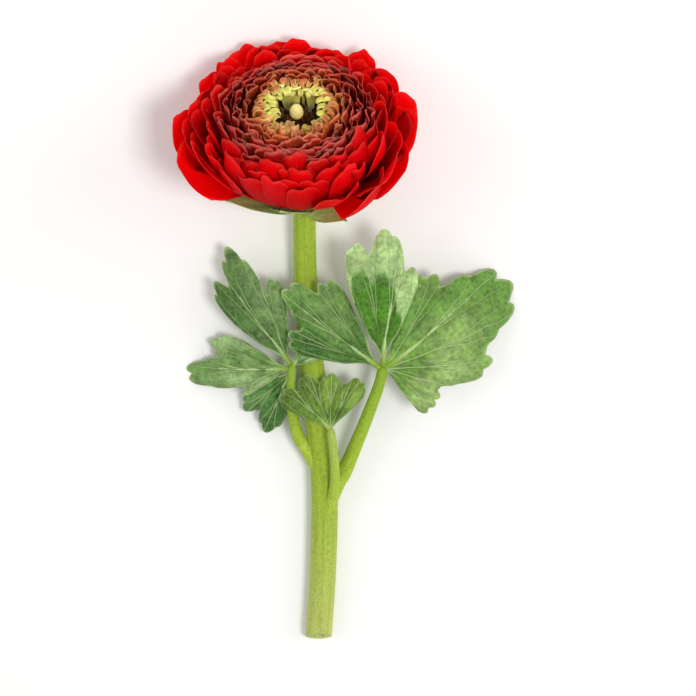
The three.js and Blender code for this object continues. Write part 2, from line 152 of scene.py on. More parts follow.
# The sepals, in the layer under the outermost petals: azimuth, share of the layer's curve, width. Their
# roots sink towards the stem. Their cup is turned from points (distance from the axis, height).
SEPAL_LAYER = -0.08
SEPAL_SINK = 3
SEPAL_SEED = 900
SEPALS = ((254, 0.5, 14), (310, 0.36, 10), (54, 0.45, 11.5), (126, 0.45, 11.5), (216, 0.58, 12.5))
CUP_FOOT = -1.6
CUP_PROFILE = (
    (POLE, CUP_FOOT), (3.1, CUP_FOOT), (4.2, -1.35), (5.2, -0.9), (5.8, -0.2), (6.0, 0.4), (POLE, 0.6),
)

# The stem leaves the cup straight down the bloom's axis as far as its neck, and then takes this course, as
# places in the layout, until past its cut end.
STEM_NECK = -6.5
PAST_CUT = 6
STEM_COURSE = (
    (0.3, -13, 5.6), (0.7, -30, 5.2), (2.6, -55, 5), (5.6, -82, 4.6), (5.4, -108, 4.1),
    (CUT_X, -STEM_LENGTH - PAST_CUT, CUT_HEIGHT),
)

# The fine down on the stem: the radii of a hair at its foot and tip, how far out its middle stands as a share
# of its length, and the bare length before the cut end
HAIR_RADII = (0.045, 0.012)
HAIR_MIDDLE = 0.46
HAIRLESS_END = 8
HAIR_SEED = 77

# The leaves. A petiole's course, its radii and the joint at which the stem's part of it ends are the frame's,
# and so are a leaflet's foot, heading, pitch, sag, length, spread, waist, lobes (angle, share of the length,
# half breadth), teeth (how many, how deep), fold and waves. Veins counts its main veins, and the colours are
# its face near its foot, its face further out, its paler sheen, which is a painted reflection, and its
# underside. A creased leaflet has the painted sheen past its crease alone, where the blade turns to the
# light: how far out that lies in the middle, and its slant.
LEAF_RIGHT = {
    "name": "leaf_right", "radius": (2.4, 1.5), "joint": 0.27, "stalk": "#80A028",
    "petiole": (
        (5.7, -92, 4.4), (8.4, -87, 5), (11.8, -80.5, 5.9), (14.8, -73, 8), (18.5, -63, 10.6),
        (21.6, -54, 12), (22.6, -49, 12.3),
    ),
    "leaflets": (
        {
            "foot": (22.7, -50, 12.2), "heading": -78, "pitch": 8, "sag": 18.8, "length": 43.5, "spread": 63,
            "waist": 0.9, "lobes": ((48, 0.7, 30), (20, 1, 30), (-8, 0.72, 26), (-46, 0.42, 48)),
            "teeth": (13, 0.08), "fold": 0.12, "wave": 1.3, "waves": 6, "veins": 7, "seed": 1,
            "foot_colour": "#769C38", "face": "#5C8A2E", "sheen": "#96B462", "under": "#A4C07A",
        },
        {
            "foot": (22.6, -50, 12.3), "heading": 1, "pitch": 14, "sag": 3, "length": 41, "spread": 22,
            "waist": 0.3, "lobes": ((12, 0.93, 13), (-2, 1, 16), (-16, 0.76, 13)),
            "teeth": (5, 0.04), "fold": 0.3, "wave": 0.8, "waves": 12, "veins": 3, "seed": 2,
            "foot_colour": "#548A08", "face": "#447C06", "sheen": "#A2C27A", "under": "#A8C482",
            "crease": (0.66, -0.18),
        },
        {
            "foot": (22.4, -50.3, 12.3), "heading": 52, "pitch": 9, "sag": 4.6, "length": 37, "spread": 27,
            "waist": 0.4, "lobes": ((-18, 0.84, 18), (-3, 1, 17), (17, 0.78, 20)),
            "teeth": (7, 0.07), "fold": 0.12, "wave": 0.6, "waves": 9, "veins": 4, "seed": 3,
            "foot_colour": "#629030", "face": "#386818", "sheen": "#689040", "under": "#A4C07A",
        },
    ),
}
LEAF_LEFT = {
    "name": "leaf_left", "radius": (2.0, 1.3), "joint": 0.37, "stalk": "#80A034",
    "petiole": (
        (5.3, -82, 4.7), (2.2, -77.5, 5), (-1.8, -70.5, 5.6), (-3.2, -64, 7), (-3.7, -56, 8.6),
        (-3.3, -49, 9.8),
    ),
    "leaflets": (
        {
            "foot": (-3.4, -50, 9.7), "heading": 28, "pitch": 6, "sag": 6.5, "length": 39, "spread": 24,
            "waist": 0.4, "lobes": ((14, 0.84, 14), (1, 1, 13), (-16, 0.68, 14)),
            "teeth": (7, 0.08), "fold": 0.25, "wave": 0.8, "waves": 10, "veins": 3, "seed": 4,
            "foot_colour": "#6C9040", "face": "#3F6822", "sheen": "#6F9050", "under": "#98B078",
        },
        {
            "foot": (-3.6, -50.4, 9.6), "heading": 92, "pitch": 6, "sag": 14.2, "length": 31, "spread": 32,
            "waist": 0.55, "lobes": ((-18, 0.78, 20), (4, 1, 18), (26, 0.52, 20)),
            "teeth": (7, 0.08), "fold": 0.12, "wave": 0.7, "waves": 8, "veins": 4, "seed": 5,
            "foot_colour": "#88A85A", "face": "#688E46", "sheen": "#9CB878", "under": "#98B078",
        },
        {
            "foot": (-3.5, -51, 9.5), "heading": 146, "pitch": -4, "sag": 5.5, "length": 21, "spread": 32,
            "waist": 0.6, "lobes": ((-14, 0.9, 22), (12, 1, 22)),
            "teeth": (5, 0.08), "fold": 0.1, "wave": 0.5, "waves": 6, "veins": 3, "seed": 6,
            "foot_colour": "#5A8634", "face": "#386620", "sheen": "#5C8A42", "under": "#98B078",
        },
        {
            "foot": (-3.2, -49.8, 10), "heading": -42, "pitch": 9, "sag": 1.5, "length": 11, "spread": 36,
            "waist": 0.6, "lobes": ((-18, 0.86, 24), (16, 1, 24)),
            "teeth": (5, 0.05), "fold": 0.1, "wave": 0.3, "waves": 6, "veins": 3, "seed": 7,
            "foot_colour": "#86A858", "face": "#6A9048", "sheen": "#9ABA7C", "under": "#98B078",
        },
    ),
}
LEAF_SMALL = {
    "name": "leaf_small", "radius": (1.6, 1.2), "joint": 0.37, "stalk": "#9AB252",
    "petiole": (
        (5.8, -96, 4.6), (7.4, -91, 7.2), (8.7, -85, 9.5), (8.8, -78, 10.9), (8.2, -72, 11.6),
        (7.6, -67.2, 11.8),
    ),
    "leaflets": (
        {
            "foot": (7.7, -68, 11.7), "heading": 10, "pitch": 2, "sag": 1.8, "length": 18.5, "spread": 54,
            "waist": 0.8, "lobes": ((42, 0.98, 24), (16, 0.96, 24), (-10, 0.9, 24), (-40, 0.92, 26)),
            "teeth": (9, 0.05), "fold": 0.06, "wave": 0.5, "waves": 7, "veins": 5, "seed": 8,
            "foot_colour": "#80A030", "face": "#5A7C1A", "sheen": "#76962E", "under": "#A0B868",
        },
    ),
}
LEAVES = (LEAF_RIGHT, LEAF_LEFT, LEAF_SMALL)

# How high a leaf puckers between its veins, how far its edge droops, its grid across and along, and how far
# a petiole starts inside the stem's part of it
PUCKER = 1.0
EDGE_DROOP = 0.3
LEAF_GRID = (72, 26)
PETIOLE_OVERLAP = 2.5

# The egg's half width and half length, the ring of stamens round it, and the bed that they stand on, as
# (distance from the axis, height) in the bloom
EGG_HALF = (1.85, 2.4)
STAMEN_RING = 5.2
STAMEN_FOOT = 25.4
STAMEN_SEED = 7000
BED_PROFILE = ((POLE, 23.2), (4.6, 23.2), (5.6, 24.2), (5.2, 25.1), (3.0, 25.7), (POLE, 25.8))
# The turn from one stamen to the next, which spreads them evenly
GOLDEN_TURN = math.pi * (3 - math.sqrt(5))

# The stage, with its places and sizes in metres: each lamp has a name, a place, a size and a power in watts.
FLOOR_HALF = 3
SKY_STRENGTH = 0.6
CAMERA_Y = 0.126
AIM = (0, 0.001, 0.010)
LAMPS = (
    ("key", (0.3, 0.02, 0.92), 0.25, 4.4),
    ("fill", (-0.68, 0.2, 0.6), 0.6, 1.5),
    ("side", (0.75, 0.3, 0.55), 0.5, 1.5),
    ("low", (0.1, -0.8, 0.5), 0.5, 0.4),
)


def mix(a, b, share):
    """The value that lies that share of the way from a to b."""
    return a + (b - a) * share


def clamp(x, low=0.0, high=1.0):
    """x, held between low and high."""
    return max(low, min(high, x))


def smooth(x):
    """A soft step from 0 at x = 0 to 1 at x = 1."""
    x = clamp(x)
    return x * x * (3 - 2 * x)


def linear(code):
    """The linear colour of an sRGB hex code."""
    parts = [int(code[i : i + 2], 16) / 255 for i in (1, 3, 5)]
    return [p / 12.92 if p <= 0.04045 else ((p + 0.055) / 1.055) ** 2.4 for p in parts]


def blend_colours(a, b, share):
    """The colour that lies that share of the way from a to b."""
    share = clamp(share)
    return tuple(mix(x, y, share) for x, y in zip(a, b))


# Places, from the frame

BLOOM_TURN = Matrix.Rotation(FACE_ELEVATION - math.pi / 2, 4, "X") @ Matrix.Rotation(BLOOM_LEAN, 4, "Y")
BLOOM_AXIS = BLOOM_TURN @ Vector((0, 0, 1))


def bloom_base():
    """The middle of the bloom's foot, found from the pistil, which stands on the bloom's axis."""
    corners = {tuple(round(c, 6) for c in v.co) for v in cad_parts["pistil"].data.vertices}
    points = [Vector(c) / MM for c in corners]
    middle = sum(points, Vector()) / len(points)
    reach = max((p - middle).dot(BLOOM_AXIS) for p in points)
    return middle + BLOOM_AXIS * (reach - PISTIL_TIP_HEIGHT)


BASE = bloom_base()
BLOOM = Matrix.Translation(BASE) @ BLOOM_TURN
# The stem and leaves are laid out from the point of the floor under the bloom's foot.
LAYOUT = Matrix.Translation(BASE - Vector((0, 0, BLOOM_BASE_HEIGHT)))


# Meshes

def new_mesh():
    """An empty bmesh with a tint for each point, a UV map, and the places on a leaf that its veins need."""
    bm = bmesh.new()
    bm.verts.layers.float_color.new("Tint")
    bm.verts.layers.float_vector.new("Veins")
    bm.loops.layers.uv.new("Blade")
    return bm


def lay_grid(bm, across, along, at, tint, place, veins=None):
    """Lays out a grid of points at(u, v), u from root to tip and v from -1 to 1 across, with their tints."""
    tints = bm.verts.layers.float_color["Tint"]
    places = bm.verts.layers.float_vector["Veins"]
    made = bmesh.ops.create_grid(bm, x_segments=across, y_segments=along, size=1, calc_uvs=True)
    for vertex in made["verts"]:
        v = vertex.co.x
        u = (vertex.co.y + 1) / 2
        vertex[tints] = (*tint(u, v), 1)
        if veins:
            vertex[places] = veins(u, v)
        vertex.co = place @ at(u, v) * MM
    return made["verts"]


def thicken(bm, thickness, vertices, under=None, much=0.0):
    """Gives a sheet its thickness. Its new side is mixed towards the colour under."""
    faces = list({face for vertex in vertices for face in vertex.link_faces})
    before = set(vertices)
    made = bmesh.ops.solidify(bm, geom=faces, thickness=thickness * MM)
    if under is None:
        return
    layer = bm.verts.layers.float_color["Tint"]
    faces = [face for face in made["geom"] if isinstance(face, bmesh.types.BMFace)]
    for vertex in {vertex for face in faces for vertex in face.verts} - before:
        vertex[layer] = (*blend_colours(vertex[layer][:3], under, much), 1)


def wrap(bm, sides, steps, at, tint, place):
    """A closed skin from a grid that is rolled up: at(u, turn) is its point, turn from 0 to a full turn."""

    def rolled(function):
        return lambda u, v: function(u, (v + 1) * math.pi)

    made = lay_grid(bm, sides, steps, rolled(at), rolled(tint), place)
    bmesh.ops.remove_doubles(bm, verts=made, dist=1e-6)
    rims = {e for v in made if v.is_valid for e in v.link_edges if e.is_boundary}
    bmesh.ops.holes_fill(bm, edges=list(rims), sides=0)


def plain(colour):
    """A tint that is the same all over."""
    return lambda u, v: colour


def swung(out, side, height, azimuth):
    """The point that far out from the bloom's axis and aside, swung round it to the azimuth."""
    across = out * math.cos(azimuth) - side * math.sin(azimuth)
    return Vector((across, out * math.sin(azimuth) + side * math.cos(azimuth), height))


def turned(profile, place=None):
    """A skin turned round the bloom's axis, for wrap, from (radius, height) points.

    place(radius, height, turn) can set each of its points elsewhere.
    """
    points = [Vector((r, h, 0)) for r, h in profile]

    def at(u, turn):
        share = u * (len(points) - 1)
        k = min(int(share), len(points) - 2)
        radius, height, _ = points[k].lerp(points[k + 1], share - k)
        if place:
            return place(radius, height, turn)
        return Vector((radius * math.cos(turn), radius * math.sin(turn), height))

    return at


def finish_piece(bm, name, nodes, materials, sharp=60):
    """Closes a bmesh into an object that rides on the root body and stands for its CAD nodes."""
    bmesh.ops.recalc_face_normals(bm, faces=bm.faces)
    # What would sink into the floor lies flat on it.
    for vertex in bm.verts:
        vertex.co.z = max(vertex.co.z, 0)
    for face in bm.faces:
        face.smooth = True
    for edge in bm.edges:
        edge.smooth = edge.calc_face_angle(math.pi) < math.radians(sharp)
    mesh = bpy.data.meshes.new(name)
    bm.to_mesh(mesh)
    bm.free()
    for material in materials:
        mesh.materials.append(material)
    piece = bpy.data.objects.new(name, mesh)
    bpy.context.scene.collection.objects.link(piece)
    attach(piece, "root")
    if nodes:
        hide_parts(*nodes)


class Line:
    """A smooth line through a few points, measured along its length, as the frame's stalks run."""

    SAMPLES = 240

    def __init__(self, points):
        points = [Vector(p) for p in points]
        ends = [2 * points[0] - points[1], *points, 2 * points[-1] - points[-2]]
        self.points = [self.between(ends, k / self.SAMPLES) for k in range(self.SAMPLES + 1)]
        self.lengths = [0.0]
        for a, b in zip(self.points, self.points[1:]):
            self.lengths.append(self.lengths[-1] + (b - a).length)

    @staticmethod
    def between(ends, share):
        """The point at that share of the spans, on a centripetal spline."""
        spans = len(ends) - 3
        k = min(int(share * spans), spans - 1)
        x = share * spans - k
        a, b, c, d = ends[k : k + 4]
        steps = [max((q - p).length ** 0.5, 1e-4) for p, q in ((a, b), (b, c), (c, d))]
        leave = ((b - a) / steps[0] - (c - a) / (steps[0] + steps[1]) + (c - b) / steps[1]) * steps[1]
        arrive = ((c - b) / steps[1] - (d - b) / (steps[1] + steps[2]) + (d - c) / steps[2]) * steps[1]
        curve = (-3 * b + 3 * c - 2 * leave - arrive) * x**2 + (2 * b - 2 * c + leave + arrive) * x**3
        return b + leave * x + curve

    def at(self, share):
        """The point at that share of the length."""
        goal = clamp(share) * self.lengths[-1]
        high = max(1, bisect.bisect_left(self.lengths, goal))
        low = high - 1
        span = max(self.lengths[high] - self.lengths[low], 1e-9)
        return self.points[low].lerp(self.points[high], (goal - self.lengths[low]) / span)

    def skin(self, radius_at, start=0.0, end=1.0):
        """The skin of a stalk along it, for wrap."""

        def at(u, turn):
            share = mix(start, end, u)
            along = (self.at(share + 0.01) - self.at(share - 0.01)).normalized()
            side = (Vector((1, 0, 0)) - along * along.x).normalized()
            radius = radius_at(share, turn)
            return self.at(share) + radius * (math.cos(turn) * side + math.sin(turn) * side.cross(along))

        return at


# The bloom's layers

def layer_point(t, s):
    """The point of layer t at s, as its distance from the axis and its height."""
    k = 0
    while k < len(LAYERS) - 2 and t > LAYERS[k + 1][0]:
        k += 1
    (low, outer), (high, inner) = LAYERS[k], LAYERS[k + 1]
    share = (t - low) / (high - low)
    weights = ((1 - s) ** 3, 3 * s * (1 - s) ** 2, 3 * s * s * (1 - s), s**3)
    return [sum(w * mix(a[i], b[i], share) for w, a, b in zip(weights, outer, inner)) for i in (0, 1)]


def opening(t, azimuth):
    """How much further out a petal of that layer hangs, in layers."""
    outer = 1 - smooth(t / LAST_OPENED)
    offs = [((math.degrees(azimuth) - at + 180) % 360 - 180) / breadth for at, _, breadth in OPENINGS]
    return -outer * sum(much * (1 - smooth(abs(off))) for off, (_, much, _) in zip(offs, OPENINGS))


def facing(t, azimuth):
    """How far an edge of a petal leans, in layers, so that both sides of the bloom face the front."""
    low, high = FACED_LAYERS
    inner = smooth((t - low) / (high - low))
    return FACING * math.cos(azimuth) * smooth(1 - math.sin(azimuth) / BACK) * (1 - inner)


def round_bloom(radius, height, azimuth):
    """The point that far from the axis. The front of the bowl is less open than its sides and back."""
    front = max(0, -math.sin(azimuth)) ** 1.5
    closed = radius * (1 - FRONT_CLOSING * front * smooth(radius / RIM_RADIUS))
    return Vector((closed * math.cos(azimuth), closed * math.sin(azimuth), height))


def bloom_point(t, s, azimuth):
    """A point of layer t."""
    return round_bloom(*layer_point(t, s), azimuth)


def petal_width(u):
    """How wide a petal is along its length, as a share of its greatest width."""
    return mix(0.34, 1.0, smooth(u / 0.72))


class Petal:
    """One petal of a spiral: where it stands, and the chances of its shape."""

    def __init__(self, family, index):
        self.family = family
        self.draw = draw = random.Random(family["seed"] * 1000 + index)
        self.share = index / (family["count"] - 1)
        self.layer = mix(*family["layers"], self.share)
        step = 2 * math.pi / family["per_turn"]
        self.azimuth = math.radians(family["phase"]) + step * (index + draw.uniform(-0.16, 0.16))
        self.width = mix(*family["width"], self.share) * draw.uniform(0.8, 1.12)
        self.reach = draw.uniform(*family["reach"])
        self.stray = draw.uniform(-1, 1) * family["stray"]
        self.hang = opening(self.layer, self.azimuth)
        self.hang += draw.uniform(-LOOSE, 0.6 * LOOSE) * (1 - smooth(self.layer / LAST_OPENED))
        self.width *= 1 + OPENED_WIDTH * max(0, -self.hang)
        self.twist = draw.uniform(-1, 1) * family["twist"]
        self.twist += facing(self.layer, self.azimuth)
        self.cup = draw.uniform(0.4, 1.5) * family["cup"]
        self.curl = draw.uniform(*family["curl"])
        self.ruffle = draw.uniform(0.3, 1.3) * family["ruffle"]
        self.waves = draw.uniform(2.5, 5)
        self.start = draw.uniform(0, 2 * math.pi)
        self.notch = draw.choice((0, 0, 0.015, 0.03, -0.03))
        self.skew = draw.uniform(-0.04, 0.04)

    def at(self, u, x):
        """The point at u along the petal and x across, with more of the grid near its edges."""
        v = math.sin(math.pi / 2 * x)
        rounding = self.family["round"] * (1 - max(0, 1 - abs(v) ** 2.7) ** 0.37) * u * u
        tip = -self.notch * math.exp(-((v / 0.25) ** 2)) + self.skew * v
        tip += 0.007 * math.sin(v * self.waves * 2.1 + self.start)
        s = mix(ROOT_START, self.reach, u) * (1 - rounding + tip * u**4)
        turn = v * petal_width(u) * self.width / 2 / layer_point(self.layer, s)[0]
        hang = self.hang * smooth(u / LEANING_LENGTH)
        t = self.layer + hang + self.family["tuck"] * turn + self.cup * v * v * u
        t += self.stray * u * u + self.twist * v * u * u + self.curl * u**5
        t += self.ruffle * math.sin(v * self.waves + self.start) * u**4
        return bloom_point(t, s, self.azimuth + turn)


def core(bm, layers, depths, foot, floor, colour):
    """The heart that a spiral's petals stand out of.

    It fills the layers up to those depths. Its foot is a (radius, height), and floor is the height at which
    its hollow ends.
    """
    steps = 8
    shares = [k / steps for k in range(steps + 1)]
    side = [layer_point(mix(*layers, share), mix(*depths, share)) for share in shares]
    brim = side[-1][0]
    profile = [(POLE, foot[1] - 0.1), foot, *side, (brim * 0.97, floor + 0.1), (POLE, floor)]
    wrap(bm, 40, 3 * len(profile), turned(profile, round_bloom), plain(colour), BLOOM)


def at_front(azimuth, start):
    """How far round to the front of the bloom it is, from 0 to 1."""
    return smooth((-math.sin(azimuth) - start) / 0.5)


def hook_surface(family, index):
    """The surface of one thick hook, for wrap: it stands on its layer, and its tip curls over the middle.

    Those at the front are shorter and less curled.
    """
    draw = random.Random(family["seed"] * 1000 + index)
    step = 2 * math.pi / family["per_turn"]
    azimuth = math.radians(family["phase"]) + step * (index + draw.uniform(-0.25, 0.25))
    layer = mix(*family["layers"], index / (family["count"] - 1))
    front = at_front(azimuth, 0.3)
    half = draw.uniform(*family["half"])
    thick = draw.uniform(*family["thick"])
    radius = draw.uniform(*family["curl"]) * mix(1, 0.75, front)
    sweep = math.radians(draw.uniform(*family["sweep"])) * mix(1, 0.85, front)
    stand = draw.uniform(*family["stand"]) * mix(1, 0.92, front)
    lean = draw.uniform(-0.5, 0.5)
    hollow = draw.choice((-1, -1, 1)) * draw.uniform(0.35, 0.7)
    bulge = draw.uniform(0.1, 0.3)

    def at(u, turn):
        curled = clamp((u - HOOK_STANDING) / HOOK_CURLED)
        angle = sweep * curled
        s = mix(0.08, stand, clamp(u / HOOK_STANDING))
        here = Vector(layer_point(layer, s))
        along = (Vector(layer_point(layer, s + 0.02)) - Vector(layer_point(layer, s - 0.02))).normalized()
        inward = Vector((-along.y, along.x))
        curl = radius * (1 - 0.35 * curled)
        point = here + curl * (math.sin(angle) * along + (1 - math.cos(angle)) * inward)
        outward = math.sin(angle) * along - math.cos(angle) * inward
        close = math.sqrt(max(0, 1 - clamp((u - 0.66) / 0.34) ** 2.4))
        breadth = mix(0.55, 1, smooth(u / 0.5)) + bulge * math.sin(math.pi * u)
        across = half * breadth * close * math.cos(turn)
        depth = thick * mix(1.0, 0.8, u) * close**0.6 * math.sin(turn)
        depth -= hollow * (math.cos(turn) * close) ** 2 * smooth(u / 0.4)
        point += outward * depth
        return swung(point.x, across + lean * u * u, point.y, azimuth)

    return at, azimuth, draw


# Leaves, from formulas of the angle at which a vein leaves the leaflet's foot

def fan_edge(leaflet, degrees):
    """How far the edge lies from the foot, as a share of the leaflet's length."""
    edges = [0.2]
    for middle, share, breadth in leaflet["lobes"]:
        off = clamp((degrees - middle) / breadth, -1, 1)
        edges.append(share * math.cos(math.pi / 2 * off) ** 0.5)
    count, depth = leaflet["teeth"]
    tooth = abs(math.cos(math.pi / 2 * count * degrees / leaflet["spread"]))
    return max(edges) * (1 - depth * (1 - tooth**0.7))


def leaflet_point(leaflet, u, v):
    """The point at u from the foot to the edge, and v across the fan."""
    degrees = v * leaflet["spread"]
    reach = leaflet["length"] * mix(0.02, 1, u) * fan_edge(leaflet, degrees)
    turn = math.radians(degrees * mix(leaflet["waist"], 1, smooth(u / 0.5)))
    x = -reach * math.sin(turn)
    out = reach / leaflet["length"]
    rise = reach * math.tan(math.radians(leaflet["pitch"])) - leaflet["sag"] * out * out
    rise += leaflet["fold"] * (math.hypot(x, 0.8) - 0.8) * (1 - 0.5 * out)
    rise += leaflet["wave"] * math.cos(math.radians(degrees) * leaflet["waves"]) * out * out
    rise += PUCKER * abs(math.sin(math.pi * leaflet["veins"] * (v + 1) / 2)) * smooth(u / 0.5) * (1 - u**6)
    rise += crumple(reach * math.cos(turn), x, leaflet["seed"]) * smooth(u / 0.3)
    rise -= EDGE_DROOP * smooth((u - 0.85) / 0.15)
    point = Vector((x, reach * math.cos(turn), rise))
    return Matrix.Rotation(math.radians(leaflet["heading"]), 3, "Z") @ point + Vector(leaflet["foot"])


def crumple(x, y, seed):
    """The small swells of a leaf's face, in millimetres."""
    return 0.3 * math.sin(0.8 * x + seed) * math.cos(0.7 * y + 2 * seed) + 0.15 * math.sin(1.9 * y - 1.4 * x)


def lay_leaflet(bm, leaflet, across, along, thickness):
    """Lays out a leaflet's blade, with the places that its veins are drawn from."""
    foot, face, sheen, under = (linear(leaflet[key]) for key in ("foot_colour", "face", "sheen", "under"))
    draw = random.Random(leaflet["seed"])
    start = draw.uniform(0, 6)

    def tint(u, x):
        # Painted sheen: patches of the paler sheen colour stand for light reflected off the blade; on a
        # creased leaflet it lies past the crease alone.
        patch = 0.5 + 0.5 * math.sin(2.6 * x + start + 1.3 * math.sin(4 * u + start))
        patch *= smooth((u - 0.2) / 0.4)
        if "crease" in leaflet:
            middle, slant = leaflet["crease"]
            patch = smooth((u - middle - slant * x) / 0.07)
        return blend_colours(blend_colours(foot, face, smooth(u / 0.35)), sheen, patch)

    def veins(u, x):
        """How many veins lie on one side, the gap between them in millimetres, and the way to the edge."""
        reach = leaflet["length"] * fan_edge(leaflet, -x * leaflet["spread"]) * u
        gap = reach * math.radians(2 * leaflet["spread"]) / leaflet["veins"]
        return (leaflet["veins"] * (1 - x) / 2, gap, u)

    made = lay_grid(bm, across, along, lambda u, x: leaflet_point(leaflet, u, -x), tint, LAYOUT, veins)
    thicken(bm, thickness, made, under, 0.8)


def lay_midrib(bm, leaflet, radius, colour):
    """Runs a tapering rib from the petiole's end along the vein nearest to the leaflet's longest lobe."""
    angle = max(leaflet["lobes"], key=lambda lobe: lobe[1])[0] / leaflet["spread"]
    vein = 2 * round((angle + 1) / 2 * leaflet["veins"]) / leaflet["veins"] - 1
    line = Line([leaflet_point(leaflet, k / 10, vein) - Vector((0, 0, 0.34)) for k in range(10)])
    pale = blend_colours(linear(leaflet["sheen"]), bpy.context.scene.flower_stem.vein, 0.6)

    def girth(share, turn):
        return radius * (1 - share) ** 1.3 + 0.2

    def tint(u, turn):
        return blend_colours(colour, pale, smooth(u / 0.25))

    wrap(bm, 12, 30, line.skin(girth, 0.012, 0.99), tint, LAYOUT)


# Materials

def add_node(tree, kind, *values, out=0, inputs=(), **settings):
    """Adds a node with its settings, and gives one of its outputs.

    Values go to its first sockets, and inputs to sockets by name or number. An output of another node is
    linked, and any other value is set.
    """
    node = tree.nodes.new(kind)
    for key, value in settings.items():
        setattr(node, key, value)
    for key, value in (*enumerate(values), *dict(inputs).items()):
        if isinstance(value, bpy.types.NodeSocket):
            tree.links.new(value, node.inputs[key])
        else:
            node.inputs[key].default_value = value
    return node.outputs[out]


def start_material(name, values):
    """A material with its shader's own sockets set, as the material, its tree and its shader node."""
    material = bpy.data.materials.new(name)
    material.use_nodes = True
    tree = material.node_tree
    shader = tree.nodes["Principled BSDF"]
    for key, value in values.items():
        shader.inputs[key].default_value = value
    return material, tree, shader


def paint(tree, shader, colour, height, strength, depth):
    """Gives a shader its colour, and a fine relief that is that many millimetres deep."""
    relief = {"Height": height, "Strength": strength, "Distance": depth * MM}
    tree.links.new(colour, shader.inputs["Base Color"])
    tree.links.new(add_node(tree, "ShaderNodeBump", inputs=relief), shader.inputs["Normal"])


def shaded_tint(tree, *shades):
    """The mesh's own tint, made darker or lighter by each of the shades."""
    tint = add_node(tree, "ShaderNodeAttribute", out="Color", attribute_name="Tint")
    shade = shades[0]
    for other in shades[1:]:
        shade = add_node(tree, "ShaderNodeMath", shade, other, operation="MULTIPLY")
    return add_node(tree, "ShaderNodeVectorMath", tint, inputs={"Scale": shade}, operation="SCALE")


def grains(size):
    """How many grains of that size in millimetres fill a metre, to the nearest ten."""
    return round(1 / (size * MM), -1)


def object_noise(tree, size, detail=2.0):
    """Noise that is fixed to the object, with grains of that size in millimetres."""
    place = add_node(tree, "ShaderNodeTexCoord", out="Object")
    inputs = {"Vector": place, "Scale": grains(size), "Detail": detail}
    return add_node(tree, "ShaderNodeTexNoise", out="Fac", inputs=inputs)


def drawn_out_noise(tree, across, along, detail):
    """Noise that is drawn out along a blade or a stalk, with that many grains across and along it."""
    blade = add_node(tree, "ShaderNodeUVMap", uv_map="Blade")
    stretch = {"Vector": blade, "Scale": (across, along, 1)}
    inputs = {"Vector": add_node(tree, "ShaderNodeMapping", inputs=stretch), "Scale": 1.0, "Detail": detail}
    return add_node(tree, "ShaderNodeTexNoise", out="Fac", inputs=inputs)


# A Map Range node takes a value, the lowest and highest that it is read from, and what these become.

def petal_material(name, streak_depth, values):
    """Living petal: a thin satin skin with fine lengthways streaks, over the blade's own tint.

    Across a petal of 12 mm the streaks are about half a millimetre wide.
    """
    material, tree, shader = start_material(name, values)
    streaks = drawn_out_noise(tree, 26, 2.2, 2.0)
    streak = add_node(tree, "ShaderNodeMapRange", streaks, 0.25, 0.75, 1 - streak_depth, 1 + streak_depth)
    cloud = add_node(tree, "ShaderNodeMapRange", object_noise(tree, 3.8), 0.0, 1.0, 0.8, 1.2)
    paint(tree, shader, shaded_tint(tree, streak, cloud), streaks, 0.25, 0.2)
    return material


